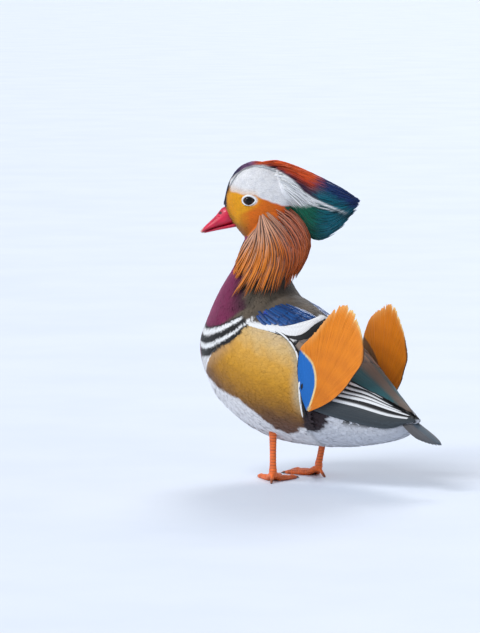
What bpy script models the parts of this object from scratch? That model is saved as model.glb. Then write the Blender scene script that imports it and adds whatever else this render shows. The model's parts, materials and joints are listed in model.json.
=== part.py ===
# A mandarin duck drake, standing on both feet with its head turned to its left.
# The duck faces -Y, its left side is +X and the floor is z = 0.
# The sizes below are millimetres, and every mesh becomes metres as it is made.

import math
import random

import bmesh
import bpy
from mathutils import Matrix, Vector

MM = 0.001

# Driving sizes, in millimetres
GAP = 0.4  # left between two pieces that meet
HEAD_TURN = math.radians(42)  # to the duck's left
HEAD_PLACE = Vector((6, -39, 0))
EYE_RADIUS = 5.6
EYE_PLACE = (5.8, 242.8)  # forward along the head and up
EYE_PROUD = 2.8  # the ball stands this far out of the side of the head
EYE_OPENING = (5.4, 4.3)
LEFT_ANKLE = Vector((35, 8, 0))
RIGHT_ANKLE = Vector((-25, 8.5, 0))
LEFT_TOES_TURN = 57  # degrees to the duck's right, which is inward
RIGHT_TOES_TURN = 18
ANKLE_TOP = 13
TOE_LENGTHS = (34, 43, 38)  # inner, middle and outer toe, each with no claw
TOE_FAN = 27  # degrees between two front toes
HIND_TOE = 9
CLAW_LENGTH = 5.5
TAIL_ROOT = Vector((0, 121, 68))
TAIL_LENGTH = 54
TAIL_PITCH = 29
TAIL_SPREAD = 16
TAIL_FEATHERS = 11

# Body and neck from the rump to the top of the neck: dorsal (y, z), ventral (y, z), half width
BODY_STATIONS = (
    ((134, 64), (137, 56), 7),
    ((118, 74.5), (124, 45), 18),
    ((93, 94), (98, 38), 29),
    ((66, 115.5), (66, 33), 41),
    ((40, 137), (30, 32), 50),
    ((20, 148.5), (-10, 36), 57),
    ((5, 155), (-45, 52), 58.5),
    ((-4, 160), (-72, 78), 56),
    ((-9, 166), (-86, 107), 49),
    ((-13, 174), (-81, 136), 39),
    ((-17, 185), (-72, 160), 30),
    ((-19, 198), (-60, 182), 21),
    ((-20, 212), (-52, 202), 17),
    ((-20, 232), (-50, 226), 15),
)
NECK_FROM = 9.3  # station where the neck node starts
BODY_SQUARES = (1.78, 2.3)  # of the upper and lower halves: above 2 is fuller than an ellipse

# Head from the nape to the feather edge at the bill: top (u, z), bottom (u, z), half width.
# u runs forward along the turned head.
HEAD_STATIONS = (
    ((-33, 250), (-31, 232), 8),
    ((-26, 263), (-27, 216), 15),
    ((-14, 271), (-17, 207), 18.5),
    ((0, 274.5), (-4, 206), 20),
    ((12, 270), (7, 209), 18.5),
    ((20.5, 259), (13, 215), 15),
    ((25, 247), (17, 220), 11),
    ((27.5, 238), (20, 223), 8),
)
UPPER_BILL = (
    ((22, 239), (10, 224), 7.2),
    ((28, 236.5), (17, 223), 7.4),
    ((34, 229), (25, 220.9), 6.8),
    ((40.5, 222.6), (33, 218.8), 6.1),
    ((45.5, 217.8), (41, 216.3), 4.9),
    ((48, 214.9), (46, 213.6), 2.6),
)
LOWER_BILL = (
    ((10, 223.4), (8, 219.0), 5.8),
    ((17, 222.4), (15.5, 218.8), 5.9),
    ((25, 220.3), (24, 217.3), 5.5),
    ((33, 218.3), (32.5, 215.8), 4.9),
    ((41, 215.8), (40.5, 214.1), 3.8),
    ((45, 214.2), (44.6, 213.1), 2.0),
)
# Outer surface of the ruff from the cheek down: front (u, z), rear (u, z), half width
RUFF_STATIONS = (
    ((8, 232), (-24, 244), 21.5),
    ((11.5, 216), (-38, 228), 24.5),
    ((13, 202), (-46, 208), 27),
    ((15.5, 188), (-44, 192), 28.5),
    ((21, 174), (-37, 178), 30),
    ((30, 161), (-33, 165), 34),
)
# Outer surface of the crest behind the crown, and the core that its locks grow from
CREST_STATIONS = (
    ((-4, 278), (-14, 243), 20.5),
    ((-18, 277), (-30, 237), 19.5),
    ((-31, 273.5), (-41, 225), 16.5),
    ((-48, 266.5), (-50, 212), 13),
    ((-65, 258), (-60, 211), 9.5),
    ((-78, 250.5), (-74, 221), 6),
    ((-87, 244), (-85, 233), 2.5),
    ((-92, 241), (-91, 238), 0.8),
)
CREST_CORE = (
    ((-8, 275), (-20, 242), 18),
    ((-24, 270), (-34, 234), 16.5),
    ((-38, 264), (-45, 222), 12.5),
    ((-51, 257), (-55, 218), 8.5),
    ((-61, 249), (-64, 226), 4.5),
    ((-66, 243), (-67, 234), 1.5),
)
PARTING = ((40, 262), (-4, 243), (-27, 237), (-49, 210), (-62, 190))  # crest above, ruff below
# Each sail fans from a corner at (y, z) to an edge of (degrees, reach), bent on a leaning plane
SAIL_FOOT = (60, 66)
SAIL_EDGE = ((121, 15), (116, 30), (110, 47), (104.5, 56), (95, 62), (87.7, 70.6), (82, 84), (78, 92),
             (74, 96), (69, 94), (64, 88), (57, 80), (50.4, 73), (44, 64.5), (40, 52), (34, 39), (28, 26),
             (24, 13))
# The right sail stands free of the flank, so more of its front shows
RIGHT_SAIL_EDGE = ((124, 14), (122, 30), (119, 46), (112, 58), (104, 66), (96, 74), (88, 81), (80.5, 87),
                   (74, 93), (69, 92), (64, 88), (57, 80), (50.4, 73), (44, 64.5), (40, 52), (34, 39),
                   (28, 26), (24, 13))
SAIL_PLANE = (75.1, -0.283, -0.132)  # x = a + b y + c z, for the left sail

# Base colour and roughness of each kind of piece
LOOKS = {
    "torso": ((0.36, 0.25, 0.2), 0.8),
    "neck": ((0.33, 0.1, 0.16), 0.8),
    "head": ((0.85, 0.78, 0.68), 0.8),
    "crest": ((0.25, 0.16, 0.2), 0.6),
    "ruff": ((0.72, 0.27, 0.05), 0.75),
    "flank": ((0.5, 0.36, 0.12), 0.8),
    "scapulars": ((0.5, 0.55, 0.65), 0.75),
    "wing": ((0.14, 0.2, 0.22), 0.6),
    "sail": ((0.85, 0.4, 0.04), 0.7),
    "tail": ((0.2, 0.25, 0.3), 0.7),
    "bill": ((0.75, 0.05, 0.14), 0.25),
    "eye": ((0.03, 0.015, 0.01), 0.05),
    "leg": ((0.8, 0.33, 0.03), 0.5),
    "foot": ((0.7, 0.28, 0.06), 0.5),
}


def clear_scene():
    for thing in list(bpy.data.objects):
        bpy.data.objects.remove(thing)


def collection_named(name, helper=False):
    made = bpy.data.collections.new(name)
    bpy.context.scene.collection.children.link(made)
    made.hide_render = helper
    return made


def spline(values, t):
    """Catmull-Rom curve through equally spaced values, carried straight on past its ends."""
    last = len(values) - 1
    if t < 0:
        return values[0] + (values[0] - spline(values, 0.1)) * (-t * 10)
    t = min(t, last)
    i = min(int(t), last - 1)
    f = t - i
    a, b = values[max(i - 1, 0)], values[i]
    c, d = values[i + 1], values[min(i + 2, last)]
    square = (a * 2 - b * 5 + c * 4 - d) * f * f
    cube = (b * 3 - a - c * 3 + d) * f * f * f
    return (b * 2 + (c - a) * f + square + cube) * 0.5


def mix(a, b, share):
    return a + (b - a) * share


class Form:
    """A rounded form between an upper and a lower rail, with a half width along it.

    t counts the stations. The angle is 0 on the upper rail, a quarter turn on the
    left side and a half turn on the lower rail."""

    def __init__(self, stations, place, forward, left, squares=(2.0, 2.0)):
        self.left = left
        self.uppers = [place + forward * u + Vector((0, 0, z)) for (u, z), _, _ in stations]
        self.lowers = [place + forward * u + Vector((0, 0, z)) for _, (u, z), _ in stations]
        self.widths = [float(w) for _, _, w in stations]
        self.last = len(stations) - 1
        self.squares = squares

    def point(self, t, angle, lift=0.0):
        upper, lower = spline(self.uppers, t), spline(self.lowers, t)
        c, s = math.cos(angle), math.sin(angle)
        power = 2 / self.squares[0 if c > 0 else 1]
        c = math.copysign(abs(c) ** power, c)
        s = math.copysign(abs(s) ** power, s)
        at = (upper + lower) / 2 + (upper - lower) / 2 * c + self.left * (spline(self.widths, t) * s)
        return at + self.normal(t, angle) * lift if lift else at

    def normal(self, t, angle):
        step = 0.02
        t = min(max(t, step), self.last - step)
        along = self.point(t + step, angle) - self.point(t - step, angle)
        around = self.point(t, angle + step) - self.point(t, angle - step)
        out = along.cross(around).normalized()
        middle = (spline(self.uppers, t) + spline(self.lowers, t)) / 2
        return out if out.dot(self.point(t, angle) - middle) > 0 else -out

    def rings(self, start, end, count, around, lift=0.0):
        turn = 2 * math.pi / around
        found = []
        for i in range(count):
            t = start + (end - start) * i / (count - 1)
            found.append([self.point(t, turn * (j + 0.5), lift) for j in range(around)])
        return found


def solid(name, points, faces, collection):
    """A mesh object from points in millimetres, with its faces turned outward."""
    mesh = bpy.data.meshes.new(name)
    mesh.from_pydata([tuple(p * MM) for p in points], [], faces)
    made = bpy.data.objects.new(name, mesh)
    collection.objects.link(made)
    shape = bmesh.new()
    shape.from_mesh(mesh)
    bmesh.ops.recalc_face_normals(shape, faces=shape.faces)
    if shape.calc_volume(signed=True) < 0:
        bmesh.ops.reverse_faces(shape, faces=shape.faces)
    shape.to_mesh(mesh)
    shape.free()
    return made


def loft(name, rings, collection):
    """A closed solid through rings of equally many points."""
    around = len(rings[0])
    points = [p for ring in rings for p in ring]
    faces = []
    for i in range(len(rings) - 1):
        for j in range(around):
            k = (j + 1) % around
            a, b = i * around, (i + 1) * around
            faces += [(a + j, a + k, b + k), (a + j, b + k, b + j)]
    for start in (0, (len(rings) - 1) * around):
        points.append(sum((points[start + j] for j in range(around)), Vector()) / around)
        faces += [(start + j, start + (j + 1) % around, len(points) - 1) for j in range(around)]
    return solid(name, points, faces, collection)


def tube(name, centres, sizes, up, around, collection):
    """A loft of ellipses (across, along up) square to a path."""
    rings = []
    for i, centre in enumerate(centres):
        along = centres[min(i + 1, len(centres) - 1)] - centres[max(i - 1, 0)]
        side = along.cross(up).normalized()
        high = side.cross(along).normalized()
        ring = []
        for j in range(around):
            angle = 2 * math.pi * (j + 0.5) / around
            wide, tall = sizes[i][0] * math.cos(angle), sizes[i][1] * math.sin(angle)
            ring.append(centre + side * wide + high * tall)
        rings.append(ring)
    return loft(name, rings, collection)


def vane(centres, normals, halves, thickness, collection, tilt=0.0, sides=4):
    """A closed feather along a path that ends in its tip, of lens section or, with 3 sides, ridged."""
    points, faces = [], []
    rows = len(centres) - 1
    for i in range(rows):
        along = (centres[i + 1] - centres[max(i - 1, 0)]).normalized()
        side = along.cross(normals[i]).normalized()
        normal = side.cross(along)
        side, normal = side + normal * tilt, normal - side * tilt
        half, thick = halves[i], thickness / 2
        base = Vector() if sides == 4 else normal * -thick
        points += [centres[i] + side * half + base, centres[i] + normal * thick]
        points.append(centres[i] - side * half + base)
        if sides == 4:
            points.append(centres[i] - normal * thick)
    points.append(centres[-1])
    pairs = ((0, 1), (2, 1), (0, 3), (2, 3)) if sides == 4 else ((0, 1), (2, 1), (0, 2))
    for i in range(rows - 1):
        a, b = i * sides, (i + 1) * sides
        for j, k in pairs:
            faces += [(a + j, a + k, b + k), (a + j, b + k, b + j)]
    end = (rows - 1) * sides
    faces += [(end + j, end + (j + 1) % sides, sides * rows) for j in range(sides)]
    faces += [(0, 1, 3), (1, 2, 3)] if sides == 4 else [(0, 1, 2)]
    return solid("vane", points, faces, collection)


def lay(form, stops, halves, thickness, collection, tilt=0.0, sides=4):
    """A feather along (t, degrees, lift) stops on a form, the last of them its tip."""
    places = [(t, math.radians(degrees), lift) for t, degrees, lift in stops]
    centres = [form.point(*place) for place in places]
    normals = [form.normal(t, angle) for t, angle, _ in places]
    return vane(centres, normals, halves, thickness, collection, tilt, sides)


def run(start, end, shares, bow=0.0):
    """Stops at these shares of the way between two (t, degrees, lift) stops, bowed out in lift."""
    found = []
    for share in shares:
        t, degrees, lift = (mix(a, b, share) for a, b in zip(start, end))
        found.append((t, degrees, lift + bow * math.sin(math.pi * share)))
    return found


def sheet(name, rows, columns, place, collection):
    """A thin closed solid over a grid. place(i, j, level, rim) gives each point of its two faces."""
    points, faces = [], []
    for level in (0, 1):
        for i in range(rows + 1):
            for j in range(columns + 1):
                points.append(place(i, j, level, i in (0, rows) or j in (0, columns)))
    wide = columns + 1
    top = (rows + 1) * wide
    for i in range(rows):
        for j in range(columns):
            for shift in (0, top):
                a, b = i * wide + j + shift, (i + 1) * wide + j + shift
                faces += [(a, a + 1, b + 1), (a, b + 1, b)]
    rim = [j for j in range(wide)]
    rim += [i * wide + columns for i in range(1, rows + 1)]
    rim += [rows * wide + j for j in range(columns - 1, -1, -1)]
    rim += [i * wide for i in range(rows - 1, 0, -1)]
    for a, b in zip(rim, rim[1:] + rim[:1]):
        faces += [(a, b, b + top), (a, b + top, a + top)]
    return solid(name, points, faces, collection)


def patch(name, form, edges, lifts, steps, collection):
    """A pad on a form. edges(share) gives (t, first degrees, last degrees) at each share of its length."""
    rows, columns = steps

    def place(i, j, level, rim):
        t, first, last = edges(i / rows)
        top = mix(*lifts, 0.45) if rim else lifts[1]
        return form.point(t, math.radians(mix(first, last, j / columns)), top if level else lifts[0])

    return sheet(name, rows, columns, place, collection)


def inflated(thing, by, collection):
    """A copy grown evenly by a distance in millimetres, used as a cutter."""
    made = bpy.data.objects.new(thing.name + "_cutter", thing.data.copy())
    collection.objects.link(made)
    shape = bmesh.new()
    shape.from_mesh(made.data)
    shape.normal_update()
    moved = [v.co + v.normal * min(v.calc_shell_factor(), 1.8) * by * MM for v in shape.verts]
    for v, co in zip(shape.verts, moved):
        v.co = co
    shape.to_mesh(made.data)
    shape.free()
    return made


def prism(name, outline, place, along, across, half, collection):
    """A cutter from an outline of (u, z) in a head-like frame, this wide to both sides."""
    count = len(outline)
    points = [place + along * u + across * w + Vector((0, 0, z)) for w in half for u, z in outline]
    faces = [tuple(range(count)), tuple(range(count, 2 * count))]
    faces += [(i, (i + 1) % count, (i + 1) % count + count, i + count) for i in range(count)]
    return solid(name, points, faces, collection)


def is_sound(shape):
    """True for one closed surface that still is one once its nearest points meet."""
    for apart in (1e-4, 1e-3):
        places, number, edges = {}, {}, {}
        for vertex in shape.verts:
            key = tuple(round(value / MM / apart) for value in vertex.co)
            number[vertex] = places.setdefault(key, len(places))
        for face in shape.faces:
            corners = [number[vertex] for vertex in face.verts]
            if len(set(corners)) == len(corners):
                for a, b in zip(corners, corners[1:] + corners[:1]):
                    edges.setdefault((min(a, b), max(a, b)), []).append(face.index)
        if not edges or any(len(found) != 2 for found in edges.values()):
            return False
        near = {}
        for a, b in edges.values():
            near.setdefault(a, set()).add(b)
            near.setdefault(b, set()).add(a)
        front = [next(iter(near))]
        seen = set(front)
        while front:
            fresh = near[front.pop()] - seen
            seen |= fresh
            front += fresh
        if len(seen) < len(near):
            return False
    return True


def slivers(shape):
    """How many triangles are thinner than two thousandths of a mm."""
    found = 0
    for face in shape.faces:
        longest = max(edge.calc_length() for edge in face.edges)
        found += 2 * face.calc_area() / max(longest, 1e-12) < 0.002 * MM
    return found


def volume_of(mesh, most_slivers=10000):
    shape = bmesh.new()
    shape.from_mesh(mesh)
    bmesh.ops.triangulate(shape, faces=shape.faces)
    shape.faces.index_update()
    sound = is_sound(shape) and slivers(shape) <= most_slivers
    volume = shape.calc_volume(signed=True) if sound else 0.0
    shape.free()
    return volume


def closed_volume(mesh):
    shape = bmesh.new()
    shape.from_mesh(mesh)
    closed = all(len(edge.link_faces) == 2 for edge in shape.edges)
    volume = shape.calc_volume(signed=True) if closed else 0.0
    shape.free()
    return volume


def modify(thing, operation, other=None, group=None):
    """Applies one Boolean. A join goes by EXACT, unless that leaves the mesh open. A cut goes by
    MANIFOLD, as EXACT cuts wrongly with a grown cutter that crosses itself."""
    before = thing.data
    least = closed_volume(before) * 0.4
    for solver in ("EXACT", "MANIFOLD") if operation == "UNION" else ("MANIFOLD", "EXACT"):
        thing.data = before
        made = thing.modifiers.new(operation.lower(), "BOOLEAN")
        made.operation = operation
        made.solver = solver
        if group is None:
            made.object = other
        else:
            made.operand_type = "COLLECTION"
            made.collection = group
        graph = bpy.context.evaluated_depsgraph_get()
        mesh = bpy.data.meshes.new_from_object(thing.evaluated_get(graph))
        thing.modifiers.clear()
        thing.data = mesh
        if closed_volume(mesh) > least:
            return


def shells_of(shape):
    left, shells = set(shape.faces), []
    while left:
        shell, front = set(), [left.pop()]
        while front:
            face = front.pop()
            shell.add(face)
            for near in {n for edge in face.edges for n in edge.link_faces} & left:
                left.discard(near)
                front.append(near)
        shells.append(shell)
    return sorted(shells, key=lambda shell: -sum(face.calc_area() for face in shell))


def keep_largest(thing):
    """Keeps only the largest closed surface of a node and merges the slivers that a Boolean leaves."""
    shape = bmesh.new()
    shape.from_mesh(thing.data)
    bmesh.ops.triangulate(shape, faces=shape.faces)
    spare = [face for shell in shells_of(shape)[1:] for face in shell]
    bmesh.ops.delete(shape, geom=spare, context="FACES")
    for distance, most in ((0.12, 0), (0.05, 0), (0.02, 0), (0.12, 9999), (0.02, 9999), (0.004, 9999)):
        tidy = shape.copy()
        bmesh.ops.remove_doubles(tidy, verts=tidy.verts, dist=distance * MM)
        bmesh.ops.dissolve_degenerate(tidy, edges=tidy.edges, dist=distance * 0.1 * MM)
        bmesh.ops.dissolve_limit(tidy, angle_limit=math.radians(1.2), verts=tidy.verts, edges=tidy.edges)
        bmesh.ops.triangulate(tidy, faces=tidy.faces)
        tidy.faces.index_update()
        if is_sound(tidy) and slivers(tidy) <= most:
            tidy.to_mesh(thing.data)
            tidy.free()
            shape.free()
            return
        tidy.free()
    shape.to_mesh(thing.data)
    shape.free()


def fuse(core, pieces):
    """Joins a collection of closed pieces to their core and removes them."""
    modify(core, "UNION", group=pieces)
    for piece in list(pieces.objects):
        bpy.data.objects.remove(piece)
    keep_largest(core)


def trim(thing, cutters):
    """Cuts a node clear of its neighbours."""
    for cutter in cutters:
        modify(thing, "DIFFERENCE", other=cutter)
    keep_largest(thing)


def lighten(thing, most):
    """Collapses needless edges that unions leave, to about this many triangles, if it stays sound."""
    count, volume = len(thing.data.polygons), volume_of(thing.data)
    for step in range(6):
        share = min(most * (1 + step * 0.04), count) / count
        made = thing.modifiers.new("fewer", "DECIMATE")
        made.ratio = share
        graph = bpy.context.evaluated_depsgraph_get()
        mesh = bpy.data.meshes.new_from_object(thing.evaluated_get(graph))
        thing.modifiers.clear()
        if volume and abs(volume_of(mesh, 0) / volume - 1) < 0.04:
            thing.data = mesh
            return True
    return False


def settled(make, seed, most, *arguments):
    """Makes a node, with other random feathers where some of them touch in a way no solid can."""
    for attempt in range(12):
        made = make(random.Random(seed + attempt), *arguments)
        if lighten(made, most) or attempt == 11:
            print(made.name, attempt, round(volume_of(made.data) * 1e6, 2), len(made.data.polygons))
            return made
        bpy.data.objects.remove(made)


class Frames:
    """The forms that the pieces are laid on, and the collections they go in."""

    def __init__(self):
        ahead = Vector((math.sin(HEAD_TURN), -math.cos(HEAD_TURN), 0))
        across = Vector((math.cos(HEAD_TURN), math.sin(HEAD_TURN), 0))
        self.ahead, self.across = ahead, across
        self.body = Form(BODY_STATIONS, Vector(), Vector((0, 1, 0)), Vector((1, 0, 0)), BODY_SQUARES)
        self.head = Form(HEAD_STATIONS, HEAD_PLACE, ahead, across)
        self.upper_bill = Form(UPPER_BILL, HEAD_PLACE, ahead, across, (2.0, 3.0))
        self.lower_bill = Form(LOWER_BILL, HEAD_PLACE, ahead, across, (3.0, 2.0))
        self.ruff = Form(RUFF_STATIONS, HEAD_PLACE, ahead, across)
        self.crest = Form(CREST_STATIONS, HEAD_PLACE, ahead, across)
        self.crest_core = Form(CREST_CORE, HEAD_PLACE, ahead, across)
        self.duck = collection_named("mandarin_duck")
        self.pieces = collection_named("pieces_to_fuse", helper=True)
        self.cutters = collection_named("cutters", helper=True)

    def in_head(self, u, side, z):
        return HEAD_PLACE + self.ahead * u + self.across * side + Vector((0, 0, z))

    def cutter(self, thing, by=GAP):
        return inflated(thing, by, self.cutters)

    def block(self, name, outline, half):
        return prism(name, outline, HEAD_PLACE, self.ahead, self.across, half, self.cutters)


def ball(name, centre, radius, columns, rows, collection):
    rings = []
    for i in range(1, rows):
        polar = math.pi * i / rows
        ring = []
        for j in range(columns):
            turn = 2 * math.pi * j / columns
            level = Vector((math.cos(turn), math.sin(turn), 0)) * math.sin(polar)
            ring.append(centre + (level + Vector((0, 0, math.cos(polar)))) * radius)
        rings.append(ring)
    made = loft(name, rings, collection)
    for vertex, way in zip(list(made.data.vertices)[-2:], (1, -1)):
        vertex.co = (centre + Vector((0, 0, way * radius))) * MM
    return made


def head_side(frames, u, z):
    """How far the side of the head stands out at this place."""
    best = 0.0
    for i in range(0, 70):
        for degrees in range(30, 151, 6):
            at = frames.head.point(i * 0.1, math.radians(degrees)) - HEAD_PLACE
            near = math.hypot(at.dot(frames.ahead) - u, at.z - z)
            if near < 1.6:
                best = max(best, at.dot(frames.across))
    return best


def make_head(frames):
    head = loft("head", frames.head.rings(0, frames.head.last, 14, 20), frames.duck)
    u, z = EYE_PLACE
    out = head_side(frames, u, z) + EYE_PROUD - EYE_RADIUS
    eyes = {}
    for name, way in (("left", 1), ("right", -1)):
        centre = frames.in_head(u, way * out, z)
        eyes[name] = ball("eye_" + name, centre, EYE_RADIUS, 16, 8, frames.duck)
        points, sizes = [], []
        count = 16
        for i in range(count):
            angle = 2 * math.pi * i / count
            rear = 1 + 0.24 * max(0, -math.cos(angle)) ** 3
            wide, high = EYE_OPENING[0] * rear * math.cos(angle), EYE_OPENING[1] * math.sin(angle)
            proud = out + EYE_PROUD + 0.2 + 0.7 * math.sin(angle) ** 2
            points.append(frames.in_head(u + wide, way * proud, z + high))
            sizes.append(1.25 if math.sin(angle) > 0 else 1.0)
        ring_tube("lid", points, sizes, frames.in_head(u, way * out, z), frames.pieces)
    fuse(head, frames.pieces)
    trim(head, [frames.cutter(eye) for eye in eyes.values()])
    return head, eyes


def ring_tube(name, centres, sizes, middle, collection):
    """A closed loop of round section, as a lid round an eye."""
    around, count = 5, len(centres)
    points, faces = [], []
    for i, centre in enumerate(centres):
        along = (centres[(i + 1) % count] - centres[i - 1]).normalized()
        out = (centre - middle)
        out = (out - along * out.dot(along)).normalized()
        side = along.cross(out)
        for j in range(around):
            angle = 2 * math.pi * j / around
            points.append(centre + (out * math.cos(angle) + side * math.sin(angle)) * sizes[i])
    for i in range(count):
        for j in range(around):
            a, b = i * around, (i + 1) % count * around
            k = (j + 1) % around
            faces += [(a + j, a + k, b + k), (a + j, b + k, b + j)]
    return solid(name, points, faces, collection)


def make_bill(frames, head):
    upper = loft("bill_upper", frames.upper_bill.rings(0, frames.upper_bill.last, 11, 16), frames.duck)
    lower = loft("bill_lower", frames.lower_bill.rings(0, frames.lower_bill.last, 9, 12), frames.duck)
    nostrils = []
    for way in (1, -1):
        at = frames.upper_bill.point(2.0, way * math.radians(50))
        slit = frames.ahead * 2.2 - Vector((0, 0, 0.9))
        centres = [at - slit, at, at + slit]
        nostrils.append(tube("nostril", centres, [(0.5, 0.4), (0.9, 0.7), (0.5, 0.4)],
                             Vector((0, 0, 1)), 6, frames.cutters))
    around_head = frames.cutter(head)
    trim(upper, [around_head] + nostrils)
    trim(lower, [around_head, frames.cutter(upper)])
    return upper, lower


def make_crest(rng, frames, head):
    crest = loft("crest", frames.crest_core.rings(0, frames.crest_core.last, 8, 12), frames.duck)
    patch("crown", frames.head, lambda s: (mix(0.7, 6.7, s), mix(-38, -24, s), mix(38, 24, s)),
          (0.1, 2.6), (11, 6), frames.pieces)
    tiers = ((0.9, 4.0, 0.6, 4, 150), (2.2, 5.3, 0.2, 4, 168), (3.2, 6.7, -0.2, 5, 174))
    for way in (1, -1):
        for row, (root, tip, rise, count, low) in enumerate(tiers):
            for i in range(count):
                degrees = mix(8, low, (i + 0.5) / count) + rng.uniform(-4, 4)
                end = tip + rng.uniform(-0.35, 0.3) - (0.8 if degrees > 120 else 0)
                start = (root, way * degrees, -2.6)
                stop = (end, way * min(degrees * 0.97 + 2, 176), rise)
                half = (7.4 - row * 1.3) * rng.uniform(0.88, 1.1)
                lay(frames.crest, run(start, stop, (0, 0.3, 0.65, 1), 1.0),
                    [half * w for w in (0.6, 1, 0.75)], 2.6, frames.pieces, way * 0.12, 3)
    fuse(crest, frames.pieces)
    below = frames.block("below_parting", PARTING + ((-62, 130), (40, 130)), (-45, 45))
    trim(crest, [frames.cutter(head), below])
    return crest


def make_ruff(rng, frames, name, way, blockers):
    core = loft("ruff_" + name, frames.ruff.rings(0.3, 3.1, 5, 16, -2.2), frames.duck)
    tiers = ((2.2, 4.95, 15, 9, 0.0), (1.4, 4.1, 13, 8, 1.6), (0.6, 3.1, 11, 7, 1.8))
    for root, tip, half, count, rise in tiers:
        for i in range(count):
            degrees = mix(8, 174, (i + 0.5) / count) + rng.uniform(-4, 4)
            end = tip + rng.uniform(-0.45, 0.3)
            if degrees < 50:
                end = min(end, 3.4 + rng.uniform(-0.2, 0.3))
            elif degrees > 140:
                end -= 0.5
            start = (root, way * mix(degrees, 80, 0.12), -3.6)
            stop = (end, way * degrees, rise + rng.uniform(-0.4, 0.6))
            wide = half * 0.34 * rng.uniform(0.85, 1.15)
            lay(frames.ruff, run(start, stop, (0, 0.35, 0.7, 1), 1.4),
                [wide * w for w in (0.6, 1, 0.7)], 2.4, frames.pieces, 0.15, 3)
    fuse(core, frames.pieces)
    above = frames.block("above_parting", tuple((u - 0.3, z + 0.4) for u, z in PARTING)
                         + ((-62, 300), (40, 300)), (-60, 60))
    other_side = frames.block("other_side", ((-80, 120), (80, 120), (80, 300), (-80, 300)),
                              sorted((-way * 60, way * 0.2)))
    trim(core, [above, other_side] + blockers)
    return core


def make_flank(rng, frames, name, way, blockers):
    tops = ((0.0, 50), (0.25, 48), (0.55, 56), (0.85, 78), (1.0, 100))

    def edges(share):
        t = mix(4.0, 7.1, share)
        for (s0, d0), (s1, d1) in zip(tops, tops[1:]):
            if s0 <= share <= s1:
                top = mix(d0, d1, (share - s0) / (s1 - s0))
        low = mix(133, 138, min(share * 2, 1)) - max(0, share - 0.7) * 50
        return t, way * top, way * low

    flank = patch("flank_" + name, frames.body, edges, (0.35, 1.8), (8, 5), frames.duck)
    for tier, (root, tip, count, rise) in enumerate(((4.5, 3.2, 8, 2.0), (5.7, 4.35, 7, 2.3))):
        for i in range(count):
            share = (i + 0.5) / count
            degrees = mix(47, 129, share) + rng.uniform(-1.5, 1.5)
            bulge = math.sin(math.pi * share) * 0.12
            start = (root, way * mix(degrees, 95, 0.1), 0.7)
            stop = (tip + 0.45 - bulge - share * 0.42, way * degrees, rise)
            half = 6.4 - tier * 0.2
            lay(frames.body, run(start, stop, (0, 0.4, 0.8, 1), 0.4),
                [half * w for w in (0.6, 1, 0.9)], 1.3, frames.pieces, way * 0.12)
    fuse(flank, frames.pieces)
    trim(flank, blockers)
    return flank


def make_scapulars(rng, frames, name, way, blockers):
    scapulars = patch("scapulars_" + name, frames.body,
                      lambda s: (mix(5.0, 6.3, s), way * mix(14, 30, s), way * mix(42, 46, s)),
                      (0.35, 1.8), (3, 4), frames.duck)
    for i in range(7):
        share = i / 6
        start = (6.1 - share * 0.2, way * mix(30, 44, share), 1.0)
        stop = (mix(4.0, 4.2, share), way * mix(10, 47, share), 2.4)
        lay(frames.body, run(start, stop, (0, 0.35, 0.75, 1), 0.6),
            [5.0 * rng.uniform(0.92, 1.05) * w for w in (0.5, 1, 0.95)], 1.3, frames.pieces, way * 0.12)
    fuse(scapulars, frames.pieces)
    trim(scapulars, blockers)
    return scapulars


def make_wing(rng, frames, name, way, blockers):

    def edges(share):
        return mix(3.0, 4.0, share), way * mix(3, 5, share), way * mix(84, 62, share)

    wing = patch("wing_" + name, frames.body, edges, (0.35, 2.0), (3, 6), frames.duck)
    count = 10
    for i in range(count):
        share = i / (count - 1)
        start = (mix(3.8, 3.2, share), way * mix(6, 80, share), 1.2)
        stop = (mix(0.2, -0.7, math.sin(math.pi * min(share * 1.3, 1))), way * mix(9, 86, share),
                mix(3.2, 1.6, share))
        lay(frames.body, run(start, stop, (0, 0.3, 0.65, 0.9, 1), 0.4),
            [4.6 * rng.uniform(0.95, 1.05) * w for w in (0.8, 1, 0.72, 0.42)],
            1.1, frames.pieces, way * 0.32)
    for i in range(5):
        share = i / 4
        start = (mix(3.9, 3.7, share), way * mix(6, 58, share), 1.8)
        stop = (mix(2.35, 1.9, share), way * mix(5, 62, share), 3.4)
        lay(frames.body, run(start, stop, (0, 0.4, 0.8, 1)),
            [5.4 * w for w in (0.7, 1, 0.8)], 1.1, frames.pieces, way * 0.32)
    fuse(wing, frames.pieces)
    middle = prism("middle", ((-80, 0), (200, 0), (200, 250), (-80, 250)), Vector(), Vector((0, 1, 0)),
                   Vector((1, 0, 0)), sorted((-way * 80, way * 0.2)), frames.cutters)
    trim(wing, [middle] + blockers)
    return wing


def make_sail(rng, frames, name, way, blockers):
    columns, rows = 30, 3
    edge = [Vector(pair) for pair in (SAIL_EDGE if way > 0 else RIGHT_SAIL_EDGE)]
    tips = [spline(edge, (len(edge) - 1) * i / columns) for i in range(columns + 1)]
    splits = [rng.uniform(1.0, 2.6) * (i % 3 == 1 and 70 < tips[i][0] < 92) for i in range(columns + 1)]

    def place(i, j, level, rim):
        degrees, reach = tips[i]
        share = (j / rows) ** 0.8
        out = 1.5 + (reach - splits[i] - 1.5) * share
        y = SAIL_FOOT[0] + out * math.cos(math.radians(degrees))
        z = SAIL_FOOT[1] + out * math.sin(math.radians(degrees))
        cup = -2.2 * math.sin(math.pi * share) * math.sin(math.pi * i / columns)
        half = 0.3 if rim else 0.75
        x = SAIL_PLANE[0] + SAIL_PLANE[1] * y + SAIL_PLANE[2] * z + cup + (-half if level else half)
        return Vector((way * x, y, z))

    sail = sheet("sail_" + name, columns, rows, place, frames.duck)
    trim(sail, blockers)
    return sail


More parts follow.
